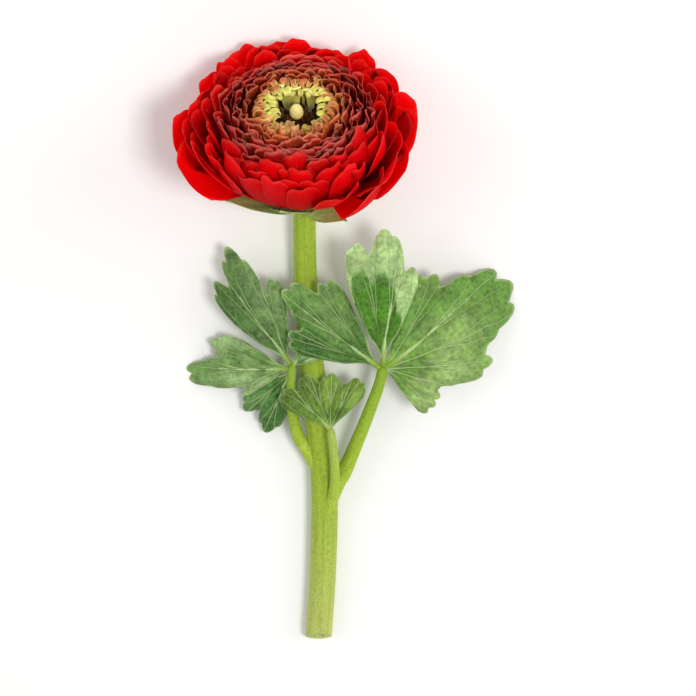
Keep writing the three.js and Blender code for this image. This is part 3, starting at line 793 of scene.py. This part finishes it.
def leaf_material(name, vein_colour, values):
    """Living leaf: a satin, faintly bloomed skin with pale veins that fan out from the foot and fork."""
    material, tree, shader = start_material(name, values)
    places = add_node(tree, "ShaderNodeAttribute", out="Vector", attribute_name="Veins")
    passed, gap, out = add_node(tree, "ShaderNodeSeparateXYZ", places).node.outputs
    warp = add_node(tree, "ShaderNodeMapRange", object_noise(tree, 6.7), 0.2, 0.8, -0.05, 0.05)
    phase = add_node(tree, "ShaderNodeMath", passed, warp)
    off = add_node(tree, "ShaderNodeMath", phase, 0.5, operation="PINGPONG")
    spread = add_node(tree, "ShaderNodeMapRange", out, 0.28, 0.95, 0.0, 0.34)
    aside = add_node(tree, "ShaderNodeMath", off, spread, operation="SUBTRACT")
    aside = add_node(tree, "ShaderNodeMath", aside, operation="ABSOLUTE")
    width = add_node(tree, "ShaderNodeMapRange", out, 0.0, 1.0, 0.42, 0.22)
    narrow = add_node(tree, "ShaderNodeMath", width, 0.8, operation="MULTIPLY")
    forking = add_node(tree, "ShaderNodeMapRange", out, 0.3, 0.5, 0.0, 1.0)

    def line(away, width, strength):
        """A vein where the way to it, as a share of the gap, is under its width in millimetres."""
        apart = add_node(tree, "ShaderNodeMath", away, gap, operation="MULTIPLY")
        crest = add_node(tree, "ShaderNodeMath", width, 0.3, operation="MULTIPLY")
        return add_node(tree, "ShaderNodeMapRange", apart, crest, width, strength, 0.0)

    main = line(off, width, 0.55)
    forks = add_node(tree, "ShaderNodeMath", line(aside, narrow, 0.45), forking, operation="MULTIPLY")
    vein = add_node(tree, "ShaderNodeMath", main, forks, operation="MAXIMUM")
    inputs = {"Vector": add_node(tree, "ShaderNodeTexCoord", out="Object"), "Scale": grains(1.56)}
    cells = add_node(
        tree, "ShaderNodeTexVoronoi", out="Distance", inputs=inputs, feature="DISTANCE_TO_EDGE"
    )
    net = add_node(tree, "ShaderNodeMapRange", cells, 0.0, 0.14, 0.1, 0.0)
    rim = add_node(tree, "ShaderNodeMapRange", out, 0.97, 0.995, 0.0, 0.5)
    seen = add_node(tree, "ShaderNodeMath", vein, net, operation="MAXIMUM")
    seen = add_node(tree, "ShaderNodeMath", seen, rim, operation="MAXIMUM")
    # The cloud varies the tone at random, with a contrast raised to paint in the shade and light of the
    # leaf's relief.
    cloud = add_node(tree, "ShaderNodeMapRange", object_noise(tree, 4.8), 0.25, 0.75, 0.55, 1.25)
    mottle = add_node(tree, "ShaderNodeMapRange", object_noise(tree, 1.25, 4.0), 0.3, 0.7, 0.68, 1.3)
    # A Mix node has its colours in sockets 6 and 7, and gives the mixed one at output 2.
    colours = {6: shaded_tint(tree, cloud, mottle), 7: (*vein_colour, 1)}
    colour = add_node(tree, "ShaderNodeMix", seen, out=2, inputs=colours, data_type="RGBA")
    swell = add_node(tree, "ShaderNodeMath", object_noise(tree, 2.4, 3.0), 0.9, operation="MULTIPLY")
    furrow = add_node(tree, "ShaderNodeMath", vein, -0.9, operation="MULTIPLY")
    sunk = add_node(tree, "ShaderNodeMath", furrow, net, operation="SUBTRACT")
    paint(tree, shader, colour, add_node(tree, "ShaderNodeMath", swell, sunk), 0.8, 0.6)
    return material


def stalk_material(name, values):
    """Living stalk: a smooth green skin with fine lengthways ribs and darker specks.

    Round a stem of 6 mm the ribs are about half a millimetre wide.
    """
    material, tree, shader = start_material(name, values)
    ribs = drawn_out_noise(tree, 34, 9, 3.0)
    rib = add_node(tree, "ShaderNodeMapRange", ribs, 0.25, 0.75, 0.86, 1.12)
    speck = add_node(tree, "ShaderNodeMapRange", object_noise(tree, 0.666), 0.35, 0.5, 0.82, 1.05)
    paint(tree, shader, shaded_tint(tree, rib, speck), ribs, 0.3, 0.25)
    return material


def grain_material(name, size, values):
    """A fleshy skin over the piece's own tint, with grains of that size in millimetres."""
    material, tree, shader = start_material(name, values)
    fine = object_noise(tree, size, 3.0)
    grain = add_node(tree, "ShaderNodeMapRange", fine, 0.2, 0.8, 0.72, 1.22)
    paint(tree, shader, shaded_tint(tree, grain), fine, 0.4, 0.15)
    return material


# Red and maroon petals: satin, half matt, and light goes a little way into them.
SATIN_PETAL = {
    "Roughness": 0.5, "IOR": 1.4, "Specular IOR Level": 0.03, "Specular Tint": (1.0, 0.28, 0.28, 1.0),
    "Subsurface Weight": 0.8, "Subsurface Radius": (1.0, 0.1, 0.07), "Subsurface Scale": 2.6 * MM,
}
# Innermost petals: waxy and fleshy, so that light spreads in them.
WAXY_FLESH = {
    "Roughness": 0.36, "IOR": 1.45, "Specular IOR Level": 0.45,
    "Subsurface Weight": 0.25, "Subsurface Radius": (1.0, 0.9, 0.3), "Subsurface Scale": 1.0 * MM,
}
# Leaf skin: half glossy.
LEAF_SKIN = {
    "Roughness": 0.44, "IOR": 1.45, "Specular IOR Level": 0.3,
    "Subsurface Weight": 0.06, "Subsurface Radius": (0.4, 1.0, 0.2), "Subsurface Scale": 0.6 * MM,
}
# Stem skin: smooth and juicy under very fine down.
STEM_SKIN = {
    "Roughness": 0.56, "IOR": 1.45, "Specular IOR Level": 0.25, "Sheen Weight": 0.05, "Sheen Roughness": 0.4,
    "Subsurface Weight": 0.15, "Subsurface Radius": (0.6, 1.0, 0.2), "Subsurface Scale": 1.2 * MM,
}


def colour_setting(name, description, code):
    """A colour that a user can change, from its sRGB hex code."""
    return FloatVectorProperty(name=name, description=description, subtype="COLOR", default=linear(code))


class FLOWER_PG_bloom(bpy.types.PropertyGroup):
    """Sizes and colours of the bloom."""

    petal_thickness: FloatProperty(
        name="Petal Thickness", description="How thick a red petal is", default=0.36 * MM, unit="LENGTH"
    )
    stamens: IntProperty(name="Stamens", description="How many stamens ring the egg", default=96, min=1)
    red_tip: colour_setting("Red Tip", "An outer petal near its tip", "#F4060E")
    # Painted shade: the red darkens towards the root, where the petals lie deep under their neighbours.
    red_root_shade: colour_setting("Red Root", "An outer petal near its root", "#C40008")
    guard_root: colour_setting("Guard Root", "The outermost petals near their roots", "#C9962F")
    maroon_face: colour_setting("Maroon Face", "An inner petal", "#821610")
    # Painted light: the inner faces are far lighter than the petals' own maroon, to brighten the petals at
    # the sides, which lie in shade.
    maroon_inside_painted_light: colour_setting("Maroon Inside", "The inner face of an inner petal", "#FF6252")
    # Painted highlight: the bright pink rims of the inner petals, which stand edge on to the light.
    maroon_rim_highlight: colour_setting("Maroon Rim", "The rim of an inner petal", "#DC6E62")
    # Painted shade: the dark deep between the inner petals and in the heart that they grow from.
    maroon_root_shade: colour_setting("Maroon Root", "An inner petal near its root", "#7C0C08")
    tan_face: colour_setting("Tan Face", "A petal next to the green ones", "#C0602A")
    # The peach rim of these petals, made paler with a painted highlight.
    tan_rim_and_highlight: colour_setting("Tan Rim", "The rim of such a petal", "#FCB674")
    hook_root: colour_setting("Hook Root", "A hook near its root", "#A8A020")
    hook_face: colour_setting("Hook Face", "The face of a hook", "#DCD444")
    # The cream tip of a hook, made paler with a painted highlight where the curl catches the light.
    hook_tip_and_highlight: colour_setting("Hook Tip", "The curled tip of a hook", "#FFF6A4")
    egg: colour_setting("Egg", "The pistil's head", "#F2DC8C")
    anther: colour_setting("Anther", "The stamens' dark heads", "#48301A")
    sepal: colour_setting("Sepal", "The outside of a sepal", "#7CA83C")
    sepal_rim: colour_setting("Sepal Rim", "The pale rim of a sepal", "#C8D48C")


class FLOWER_PG_stem(bpy.types.PropertyGroup):
    """Sizes and colours of the stem, the petioles and the leaves."""

    top: colour_setting("Stem", "The stem under the bloom", "#9CB432")
    foot: colour_setting("Stem Foot", "The stem at its cut end", "#B4BE62")
    pith: colour_setting("Pith", "The cut face", "#D5DDA2")
    vein: colour_setting("Vein", "The leaves' veins and edges", "#B8D092")
    leaf_thickness: FloatProperty(
        name="Leaf Thickness", description="How thick a leaf is", default=0.42 * MM, unit="LENGTH"
    )
    hairs: IntProperty(name="Hairs", description="How many hairs the stem has", default=900, min=1)
    hair_length: FloatProperty(
        name="Hair Length", description="Length of a hair", default=1.1 * MM, unit="LENGTH"
    )


class FLOWER_PG_stage(bpy.types.PropertyGroup):
    """The floor, the lights and the camera."""

    floor_colour: colour_setting("Floor", "Colour of the floor", "#F2F1EE")
    lens: FloatProperty(
        name="Lens", description="Focal length of the camera in millimetres", default=128, min=20
    )
    distance: FloatProperty(
        name="Distance", description="Height of the camera over the floor", default=0.7, unit="LENGTH"
    )


def lit(colour, light):
    """The colour, made lighter or darker."""
    return tuple(light * part for part in colour)


def lay_petals(bm, family, tint_of, thickness, inside=None, much=0.0):
    """Lays out every petal of a spiral.

    tint_of(petal) gives its tint, which on its inner face is mixed with the colour inside.
    """
    for index in range(family["count"]):
        petal = Petal(family, index)
        made = lay_grid(bm, *family["grid"], petal.at, tint_of(petal), BLOOM)
        thicken(bm, family["thick"] * thickness / MM, made, inside, much)


class FLOWER_OT_red_petals(bpy.types.Operator):
    """Grow the outer petals, bright red, in turns of a spiral"""

    bl_idname = "flower.red_petals"
    bl_label = "Red Petals"

    def execute(self, context):
        bloom = context.scene.flower_bloom

        def tint_of(petal):
            light = petal.draw.uniform(0.78, 1.12)
            inner = smooth((petal.share - 0.7) / 0.3) * petal.draw.uniform(0.3, 1)
            guard = 1 - smooth(petal.share / 0.14)
            tip = blend_colours(bloom.red_tip, bloom.maroon_face, 0.6 * inner)
            rim = blend_colours(tip, bloom.maroon_rim_highlight, 0.16 + 0.4 * inner)

            def tint(u, v):
                pale = 0.6 * guard * (1 - smooth((u - 0.1) / 0.3))
                root = blend_colours(bloom.red_root_shade, bloom.guard_root, pale)
                # Painted shade: each petal darkens towards its root, where it lies under its neighbours, and
                # its rim and edges are mixed with a painted highlight.
                face = blend_colours(root, tip, smooth((u - 0.2) / 0.6))
                return lit(blend_colours(face, rim, smooth((u - 0.93) / 0.07) + abs(v) ** 14), light)

            return tint

        bm = new_mesh()
        # The heart under the petals takes the painted shade colour of their roots.
        core(bm, (0.0, 0.44), (0.14, 0.5), (5.4, 0.4), 16, bloom.red_root_shade)
        lay_petals(bm, RED, tint_of, bloom.petal_thickness, bloom.red_tip, 0.65)
        skin = petal_material("Satin red petal", 0.12, SATIN_PETAL)
        finish_piece(bm, "red_petals_fine", ["red_petals"], [skin])
        return {"FINISHED"}


class FLOWER_OT_maroon_petals(bpy.types.Operator):
    """Grow the inner petals, small, dense and maroon"""

    bl_idname = "flower.maroon_petals"
    bl_label = "Maroon Petals"

    def execute(self, context):
        bloom = context.scene.flower_bloom

        def tint_of(petal):
            light = petal.draw.uniform(0.75, 1.1)
            brown = smooth((petal.share - 0.55) / 0.45)
            red = (1 - smooth(petal.share / 0.3)) * petal.draw.uniform(0.0, 0.6)
            face = blend_colours(bloom.maroon_face, bloom.tan_face, 0.45 * brown)
            face = blend_colours(face, bloom.red_tip, red)
            rim = blend_colours(bloom.maroon_rim_highlight, bloom.tan_rim_and_highlight, 0.5 * brown)

            def tint(u, v):
                # Painted shade: each petal darkens towards its root, deep among its neighbours, and its rim
                # and edges take the painted highlight.
                body = blend_colours(bloom.maroon_root_shade, face, smooth((u - 0.35) / 0.5))
                return lit(blend_colours(body, rim, smooth((u - 0.92) / 0.08) + abs(v) ** 12), light)

            return tint

        bm = new_mesh()
        # The heart takes the painted shade colour of the petals' roots.
        core(bm, (0.46, 0.83), (0.5, 0.56), (12, 16), 23.6, bloom.maroon_root_shade)
        # The inner faces are mixed towards the painted light colour.
        lay_petals(bm, MAROON, tint_of, bloom.petal_thickness, bloom.maroon_inside_painted_light, 0.7)
        skin = petal_material("Satin maroon petal", 0.14, SATIN_PETAL)
        finish_piece(bm, "maroon_petals_fine", ["maroon_petals"], [skin])
        return {"FINISHED"}


class FLOWER_OT_green_petals(bpy.types.Operator):
    """Grow the tan petals, and the tan and green hooks that curl over the middle"""

    bl_idname = "flower.green_petals"
    bl_label = "Green Petals"

    def execute(self, context):
        bloom = context.scene.flower_bloom

        def tint_of(petal):
            light = petal.draw.uniform(0.75, 1.1)

            def tint(u, v):
                # Painted shade towards the root, deep among the other petals, and the peach rim and edges
                # with a painted highlight.
                face = blend_colours(bloom.maroon_root_shade, bloom.tan_face, smooth((u - 0.3) / 0.45))
                rim = smooth((u - 0.88) / 0.12) + abs(v) ** 8
                return lit(blend_colours(face, bloom.tan_rim_and_highlight, rim), light)

            return tint

        bm = new_mesh()
        core(bm, (0.84, 1.0), (0.3, 0.17), (7, 23.6), 25.2, bloom.anther)
        lay_petals(bm, TAN, tint_of, bloom.petal_thickness)
        for family, tan in ((TAN_HOOKS, 0.95), (GREEN_HOOKS, 0.0), (BACK_HOOKS, 0.0)):
            for index in range(family["count"]):
                self.grow_hook(bm, bloom, family, index, tan)
        skin = petal_material("Waxy green petal", 0.08, WAXY_FLESH)
        finish_piece(bm, "green_petals_fine", ["green_petals"], [skin], sharp=75)
        return {"FINISHED"}

    def grow_hook(self, bm, bloom, family, index, tan):
        """Grows one hook, more or less tan."""
        surface, azimuth, draw = hook_surface(family, index)
        light = draw.uniform(0.9, 1.15)
        front = at_front(azimuth, 0.35)
        light *= 1 - 0.25 * front
        tan = clamp(tan + draw.uniform(-0.15, 0.15) + 0.6 * front)
        root = blend_colours(bloom.hook_root, bloom.maroon_face, tan)
        # The back hooks' roots are lightened: their own paler colour, with painted light where they stand in
        # shade.
        root = blend_colours(root, bloom.hook_tip_and_highlight, family.get("pale", 0))
        face = blend_colours(bloom.hook_face, bloom.tan_face, tan)
        tip = blend_colours(bloom.hook_tip_and_highlight, bloom.tan_rim_and_highlight, tan)

        def tint(u, turn):
            body = blend_colours(root, face, smooth(u / 0.4))
            # Painted highlight: the hook's edges and curled tip are mixed towards the tip colour and made
            # brighter, where light catches the rolled edge.
            edge = math.cos(turn) ** 4
            share = clamp(smooth((u - 0.5) / 0.45) * (0.35 + 0.65 * edge) + 0.35 * edge)
            return lit(blend_colours(body, tip, share), light * mix(0.85, 1.05, edge))

        wrap(bm, 18, 26, surface, tint, BLOOM)


class FLOWER_OT_pistil(bpy.types.Operator):
    """Shape the pale egg in the middle and set the dark stamens round it"""

    bl_idname = "flower.pistil"
    bl_label = "Pistil"

    def execute(self, context):
        bloom = context.scene.flower_bloom
        across, along = EGG_HALF

        def egg(u, turn):
            """The egg with its small blunt carpels, in rows that wind up it."""
            height = -math.cos(math.pi * u)
            carpel = math.sin(8 * turn + 22 * u) * math.sin(8 * turn - 22 * u)
            radius = across * math.sin(math.pi * clamp(u, 0.001, 0.999)) ** 0.9 * (1 - 0.1 * height)
            radius *= 1 + 0.035 * carpel * math.sin(math.pi * u)
            return swung(radius, 0, PISTIL_TIP_HEIGHT - along * (1 - height), turn)

        def egg_tint(u, turn):
            return blend_colours(bloom.hook_root, bloom.egg, smooth((u - 0.15) / 0.3))

        bm = new_mesh()
        wrap(bm, 48, 36, egg, egg_tint, BLOOM)
        flesh = grain_material("Waxy cream flesh", 0.385, WAXY_FLESH)
        finish_piece(bm, "pistil_egg", ["pistil"], [flesh])

        bm = new_mesh()
        wrap(bm, 40, 12, turned(BED_PROFILE), plain(bloom.anther), BLOOM)
        for index in range(bloom.stamens):
            self.grow_stamen(bm, bloom, index)
        dust = {"Roughness": 0.7, "IOR": 1.45, "Specular IOR Level": 0.25}
        powder = grain_material("Dark powdery anther", 0.333, dust)
        finish_piece(bm, "stamens", [], [powder])
        return {"FINISHED"}

    def grow_stamen(self, bm, bloom, index):
        """Grows one stamen: a thin stalk with a longer, thicker head."""
        draw = random.Random(STAMEN_SEED + index)
        azimuth = index * GOLDEN_TURN
        foot = Vector((STAMEN_RING * math.sqrt(draw.uniform(0.14, 1.0)), STAMEN_FOOT))
        tip = foot + Vector((draw.uniform(-0.4, 1.0), draw.uniform(2.2, 4.4)))
        swing = draw.uniform(-0.12, 0.12)
        light = draw.uniform(0.7, 2.6)

        def stamen(u, turn):
            middle = foot.lerp(tip, u)
            head = smooth((u - 0.55) / 0.12) * math.sqrt(max(0, 1 - clamp((u - 0.75) / 0.25) ** 2))
            thick = mix(0.13, 0.4, head) if u < 0.99 else 0.02
            angle = azimuth + swing * u
            side = thick * 0.8 * math.sin(turn)
            return swung(middle.x + thick * math.cos(turn), side, middle.y, angle)

        def tint(u, turn):
            return lit(blend_colours(bloom.tan_face, bloom.anther, smooth((u - 0.3) / 0.3)), light)

        wrap(bm, 7, 9, stamen, tint, BLOOM)


class FLOWER_OT_calyx(bpy.types.Operator):
    """Grow the downy sepals and their cup on the stem's top"""

    bl_idname = "flower.calyx"
    bl_label = "Calyx"

    def execute(self, context):
        bloom = context.scene.flower_bloom
        bm = new_mesh()
        wrap(bm, 36, 16, turned(CUP_PROFILE), plain(bloom.sepal), BLOOM)
        for index, (degrees, reach, width) in enumerate(SEPALS):
            draw = random.Random(SEPAL_SEED + index)
            azimuth = math.radians(degrees)
            hang = opening(SEPAL_LAYER, azimuth)
            layer = SEPAL_LAYER + min(hang, hang / 2)
            start = draw.uniform(0, 6)

            def sepal(u, x):
                """A boat-shaped blade with a low rib and a turned-up tip."""
                v = math.sin(math.pi / 2 * x)
                s = reach * u * (1 - 0.14 * v * v * u)
                half = width / 2 * math.sin(math.pi * mix(0.2, 0.985, clamp(u))) ** 0.7
                half *= 1 + 0.04 * math.sin(9 * u + start + 2 * v)
                radius = layer_point(SEPAL_LAYER, s)[0]
                point = bloom_point(layer, s, azimuth + v * half / max(radius, half))
                point.z -= SEPAL_SINK * (1 - smooth(s / 0.4))
                outward = Vector((math.cos(azimuth), math.sin(azimuth), -0.6)).normalized()
                return point + outward * (0.25 * math.cos(7 * v) * smooth(u / 0.3) - 0.5 * v * v * u)

            def tint(u, v):
                body = blend_colours(bloom.sepal, bloom.sepal_rim, 0.35 * smooth(u) + 0.65 * abs(v) ** 4)
                return lit(body, 1 + 0.12 * math.sin(5 * v + start))

            made = lay_grid(bm, 14, 22, sepal, tint, BLOOM)
            thicken(bm, 0.45, made)
        skin = leaf_material("Downy sepal", bloom.sepal_rim, LEAF_SKIN)
        finish_piece(bm, "calyx_fine", ["calyx"], [skin])
        return {"FINISHED"}


def stem_line():
    """The stem's middle line, from the bloom's foot to past its cut end."""
    top = LAYOUT.inverted() @ BLOOM @ Vector((0, 0, CUP_FOOT))
    neck = LAYOUT.inverted() @ BLOOM @ Vector((0, 0, STEM_NECK))
    return Line([top, neck, *STEM_COURSE])


def stem_radius(share, turn):
    """The stem's radius, with its shallow ribs."""
    ribs = 0.05 * math.cos(9 * turn) + 0.04 * math.cos(14 * turn + 1)
    return mix(STEM_TOP_RADIUS, STEM_CUT_RADIUS, smooth(share / 0.7)) + ribs


class FLOWER_OT_stem(bpy.types.Operator):
    """Shape the stem with its slanted cut and hollow, and the feet of its petioles"""

    bl_idname = "flower.stem"
    bl_label = "Stem"

    def execute(self, context):
        colours = context.scene.flower_stem
        line = stem_line()

        def tint(u, turn):
            body = blend_colours(colours.top, colours.foot, smooth((u - 0.6) / 0.4))
            # Painted light: one side of the stem is lighter and the other darker, as the light falls; the
            # fine ripple follows the ribs.
            return lit(body, 1 + 0.1 * math.cos(turn - 1.2) + 0.04 * math.sin(9 * turn))

        bm = new_mesh()
        wrap(bm, 44, 150, line.skin(stem_radius), tint, LAYOUT)
        self.cut(bm)
        for leaf in LEAVES:

            def foot_radius(share, turn):
                """The petiole's radius, a little greater where it leaves the stem."""
                return petiole_radius(leaf, share) * (1 + 0.25 * (1 - smooth(share / 0.2)))

            foot = Line(leaf["petiole"]).skin(foot_radius, 0, leaf["joint"])
            wrap(bm, 24, 24, foot, tint, LAYOUT)
        skin = stalk_material("Juicy green stalk", STEM_SKIN)
        pith = grain_material("Cut pith", 0.714, {"Roughness": 0.55, "IOR": 1.4})
        finish_piece(bm, "stem_fine", ["stem"], [skin, pith])
        return {"FINISHED"}

    def cut(self, bm):
        """Cuts the stem's end on the slant, and hollows it."""
        point = LAYOUT @ Vector((CUT_X, -STEM_LENGTH, CUT_HEIGHT)) * MM
        normal = Vector((0, math.cos(CUT_SLANT), -math.sin(CUT_SLANT)))
        geometry = [*bm.verts, *bm.edges, *bm.faces]
        sliced = bmesh.ops.bisect_plane(bm, geom=geometry, plane_co=point, plane_no=normal, clear_inner=True)
        rim = [e for e in sliced["geom_cut"] if isinstance(e, bmesh.types.BMEdge)]
        capped = bmesh.ops.holes_fill(bm, edges=rim, sides=0)["faces"]
        wall = (STEM_CUT_RADIUS - STEM_HOLLOW_RADIUS) * MM
        ring = bmesh.ops.inset_region(bm, faces=capped, thickness=wall, use_even_offset=True)["faces"]
        pushed = bmesh.ops.extrude_face_region(bm, geom=capped)
        inner = [v for v in pushed["geom"] if isinstance(v, bmesh.types.BMVert)]
        bmesh.ops.translate(bm, verts=inner, vec=(0, STEM_HOLLOW_DEPTH * MM, 0))
        bmesh.ops.delete(bm, geom=capped, context="FACES_ONLY")
        layer = bm.verts.layers.float_color["Tint"]
        pith = (*bpy.context.scene.flower_stem.pith, 1)
        for face in ring:
            face.material_index = 1
        for vertex in inner:
            vertex[layer] = pith


def petiole_radius(leaf, share):
    """The petiole's radius along it."""
    return mix(*leaf["radius"], clamp(share))


class FLOWER_OT_leaves(bpy.types.Operator):
    """Grow the three leaves: petioles, and blades with lobes, teeth and veins"""

    bl_idname = "flower.leaves"
    bl_label = "Leaves"

    def execute(self, context):
        colours = context.scene.flower_stem
        blade = leaf_material("Satin green leaf", colours.vein, LEAF_SKIN)
        stalk = stalk_material("Juicy green petiole", STEM_SKIN)
        for leaf in LEAVES:
            bm = new_mesh()
            petiole = Line(leaf["petiole"])
            start = leaf["joint"] - PETIOLE_OVERLAP / petiole.lengths[-1]

            def sleeve(share, turn):
                """The petiole's radius, first a little over the stem's part of it, and round at its end."""
                cap = math.sqrt(max(0.02, 1 - clamp((share - 0.94) / 0.06) ** 2))
                return (petiole_radius(leaf, share) + 0.16 * (1 - smooth((share - start) / 0.2))) * cap

            def tint(u, turn):
                # Painted light: one side of the petiole is lighter and the other darker, as the light falls.
                return lit(blend_colours(colours.top, linear(leaf["stalk"]), u), 1 + 0.1 * math.cos(turn))

            wrap(bm, 24, 60, petiole.skin(sleeve, start, 1), tint, LAYOUT)
            for leaflet in leaf["leaflets"]:
                lay_midrib(bm, leaflet, 0.5 * leaf["radius"][1], linear(leaf["stalk"]))
            for face in bm.faces:
                face.material_index = 1
            for leaflet in leaf["leaflets"]:
                lay_leaflet(bm, leaflet, *LEAF_GRID, colours.leaf_thickness / MM)
            finish_piece(bm, leaf["name"] + "_fine", [leaf["name"]], [blade, stalk])
        return {"FINISHED"}


class FLOWER_OT_hairs(bpy.types.Operator):
    """Set the fine down on the stem"""

    bl_idname = "flower.hairs"
    bl_label = "Hairs"

    def execute(self, context):
        settings = context.scene.flower_stem
        line = stem_line()
        skin = line.skin(stem_radius)
        end = 1 - HAIRLESS_END / line.lengths[-1]
        bm = new_mesh()
        draw = random.Random(HAIR_SEED)
        for _ in range(settings.hairs):
            share = draw.uniform(0.02, end)
            turn = draw.uniform(0, 2 * math.pi)
            foot = LAYOUT @ skin(share, turn) * MM
            out = (foot - LAYOUT @ line.at(share) * MM).normalized()
            lean = (out + Vector([draw.uniform(-0.45, 0.45) for _ in range(3)])).normalized()
            length = settings.hair_length * draw.uniform(0.5, 1.2)
            stood_up = lean.to_track_quat("Z", "Y").to_matrix().to_4x4()
            place = Matrix.Translation(foot + lean * length * HAIR_MIDDLE) @ stood_up
            bmesh.ops.create_cone(
                bm, segments=3, radius1=HAIR_RADII[0] * MM, radius2=HAIR_RADII[1] * MM, depth=length,
                cap_ends=True, matrix=place,
            )
        layer = bm.verts.layers.float_color["Tint"]
        for vertex in bm.verts:
            vertex[layer] = (*linear("#E6EBC8"), 1)
        down = grain_material("Pale down", 1.11, {"Roughness": 0.5, "IOR": 1.45})
        finish_piece(bm, "stem_hairs", [], [down])
        return {"FINISHED"}


class FLOWER_OT_stage(bpy.types.Operator):
    """Set the floor, the lights and the camera"""

    bl_idname = "flower.stage"
    bl_label = "Stage"

    def execute(self, context):
        scene = context.scene
        stage = scene.flower_stage
        bm = bmesh.new()
        bmesh.ops.create_grid(bm, x_segments=1, y_segments=1, size=FLOOR_HALF)
        bmesh.ops.translate(bm, verts=bm.verts, vec=(0, 0, -0.1 * MM))
        mesh = bpy.data.meshes.new("floor")
        bm.to_mesh(mesh)
        bm.free()
        floor = bpy.data.objects.new("floor", mesh)
        scene.collection.objects.link(floor)
        board = {"Base Color": (*stage.floor_colour, 1), "Roughness": 0.8}
        mesh.materials.append(start_material("Matt painted board", board)[0])

        scene.world = bpy.data.worlds.new("Studio")
        scene.world.use_nodes = True
        sky = scene.world.node_tree.nodes["Background"].inputs
        sky["Color"].default_value = (*linear("#F6F7FA"), 1)
        sky["Strength"].default_value = SKY_STRENGTH
        for name, spot, size, power in LAMPS:
            lamp = bpy.data.objects.new(name, bpy.data.lights.new(name, "AREA"))
            lamp.data.size = size
            lamp.data.energy = power
            lamp.location = spot
            lamp.rotation_euler = (Vector(AIM) - Vector(spot)).to_track_quat("-Z", "Y").to_euler()
            scene.collection.objects.link(lamp)

        camera = bpy.data.objects.new("camera", bpy.data.cameras.new("camera"))
        camera.data.lens = stage.lens
        camera.data.clip_start = 0.01
        camera.location = (0, CAMERA_Y, stage.distance)
        aim = Vector(AIM) - camera.location
        camera.rotation_euler = (math.atan2(aim.y, -aim.z), 0, 0)
        scene.collection.objects.link(camera)
        scene.camera = camera
        scene.view_settings.view_transform = "Standard"
        return {"FINISHED"}


class FLOWER_PT_panel(bpy.types.Panel):
    """The pieces of the flower"""

    bl_label = "Ranunculus Flower"
    bl_idname = "FLOWER_PT_panel"
    bl_space_type = "VIEW_3D"
    bl_region_type = "UI"
    bl_category = "Flower"

    def draw(self, context):
        for piece in PIECES:
            self.layout.operator(piece.bl_idname)


PIECES = (
    FLOWER_OT_red_petals, FLOWER_OT_maroon_petals, FLOWER_OT_green_petals, FLOWER_OT_pistil, FLOWER_OT_calyx,
    FLOWER_OT_stem, FLOWER_OT_leaves, FLOWER_OT_hairs, FLOWER_OT_stage,
)
SETTINGS = {
    "flower_bloom": FLOWER_PG_bloom,
    "flower_stem": FLOWER_PG_stem,
    "flower_stage": FLOWER_PG_stage,
}


def register():
    """Registers the classes and the scene's settings."""
    for each in (*SETTINGS.values(), *PIECES, FLOWER_PT_panel):
        bpy.utils.register_class(each)
    for name, group in SETTINGS.items():
        setattr(bpy.types.Scene, name, PointerProperty(type=group))


def unregister():
    """Takes them away again."""
    for name in SETTINGS:
        delattr(bpy.types.Scene, name)
    for each in (FLOWER_PT_panel, *reversed(PIECES), *reversed(SETTINGS.values())):
        bpy.utils.unregister_class(each)


def main():
    """Grows every piece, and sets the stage."""
    register()
    bpy.ops.flower.red_petals()
    bpy.ops.flower.maroon_petals()
    bpy.ops.flower.green_petals()
    bpy.ops.flower.pistil()
    bpy.ops.flower.calyx()
    bpy.ops.flower.stem()
    bpy.ops.flower.leaves()
    bpy.ops.flower.hairs()
    bpy.ops.flower.stage()
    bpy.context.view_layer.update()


if __name__ == "__main__":
    main()
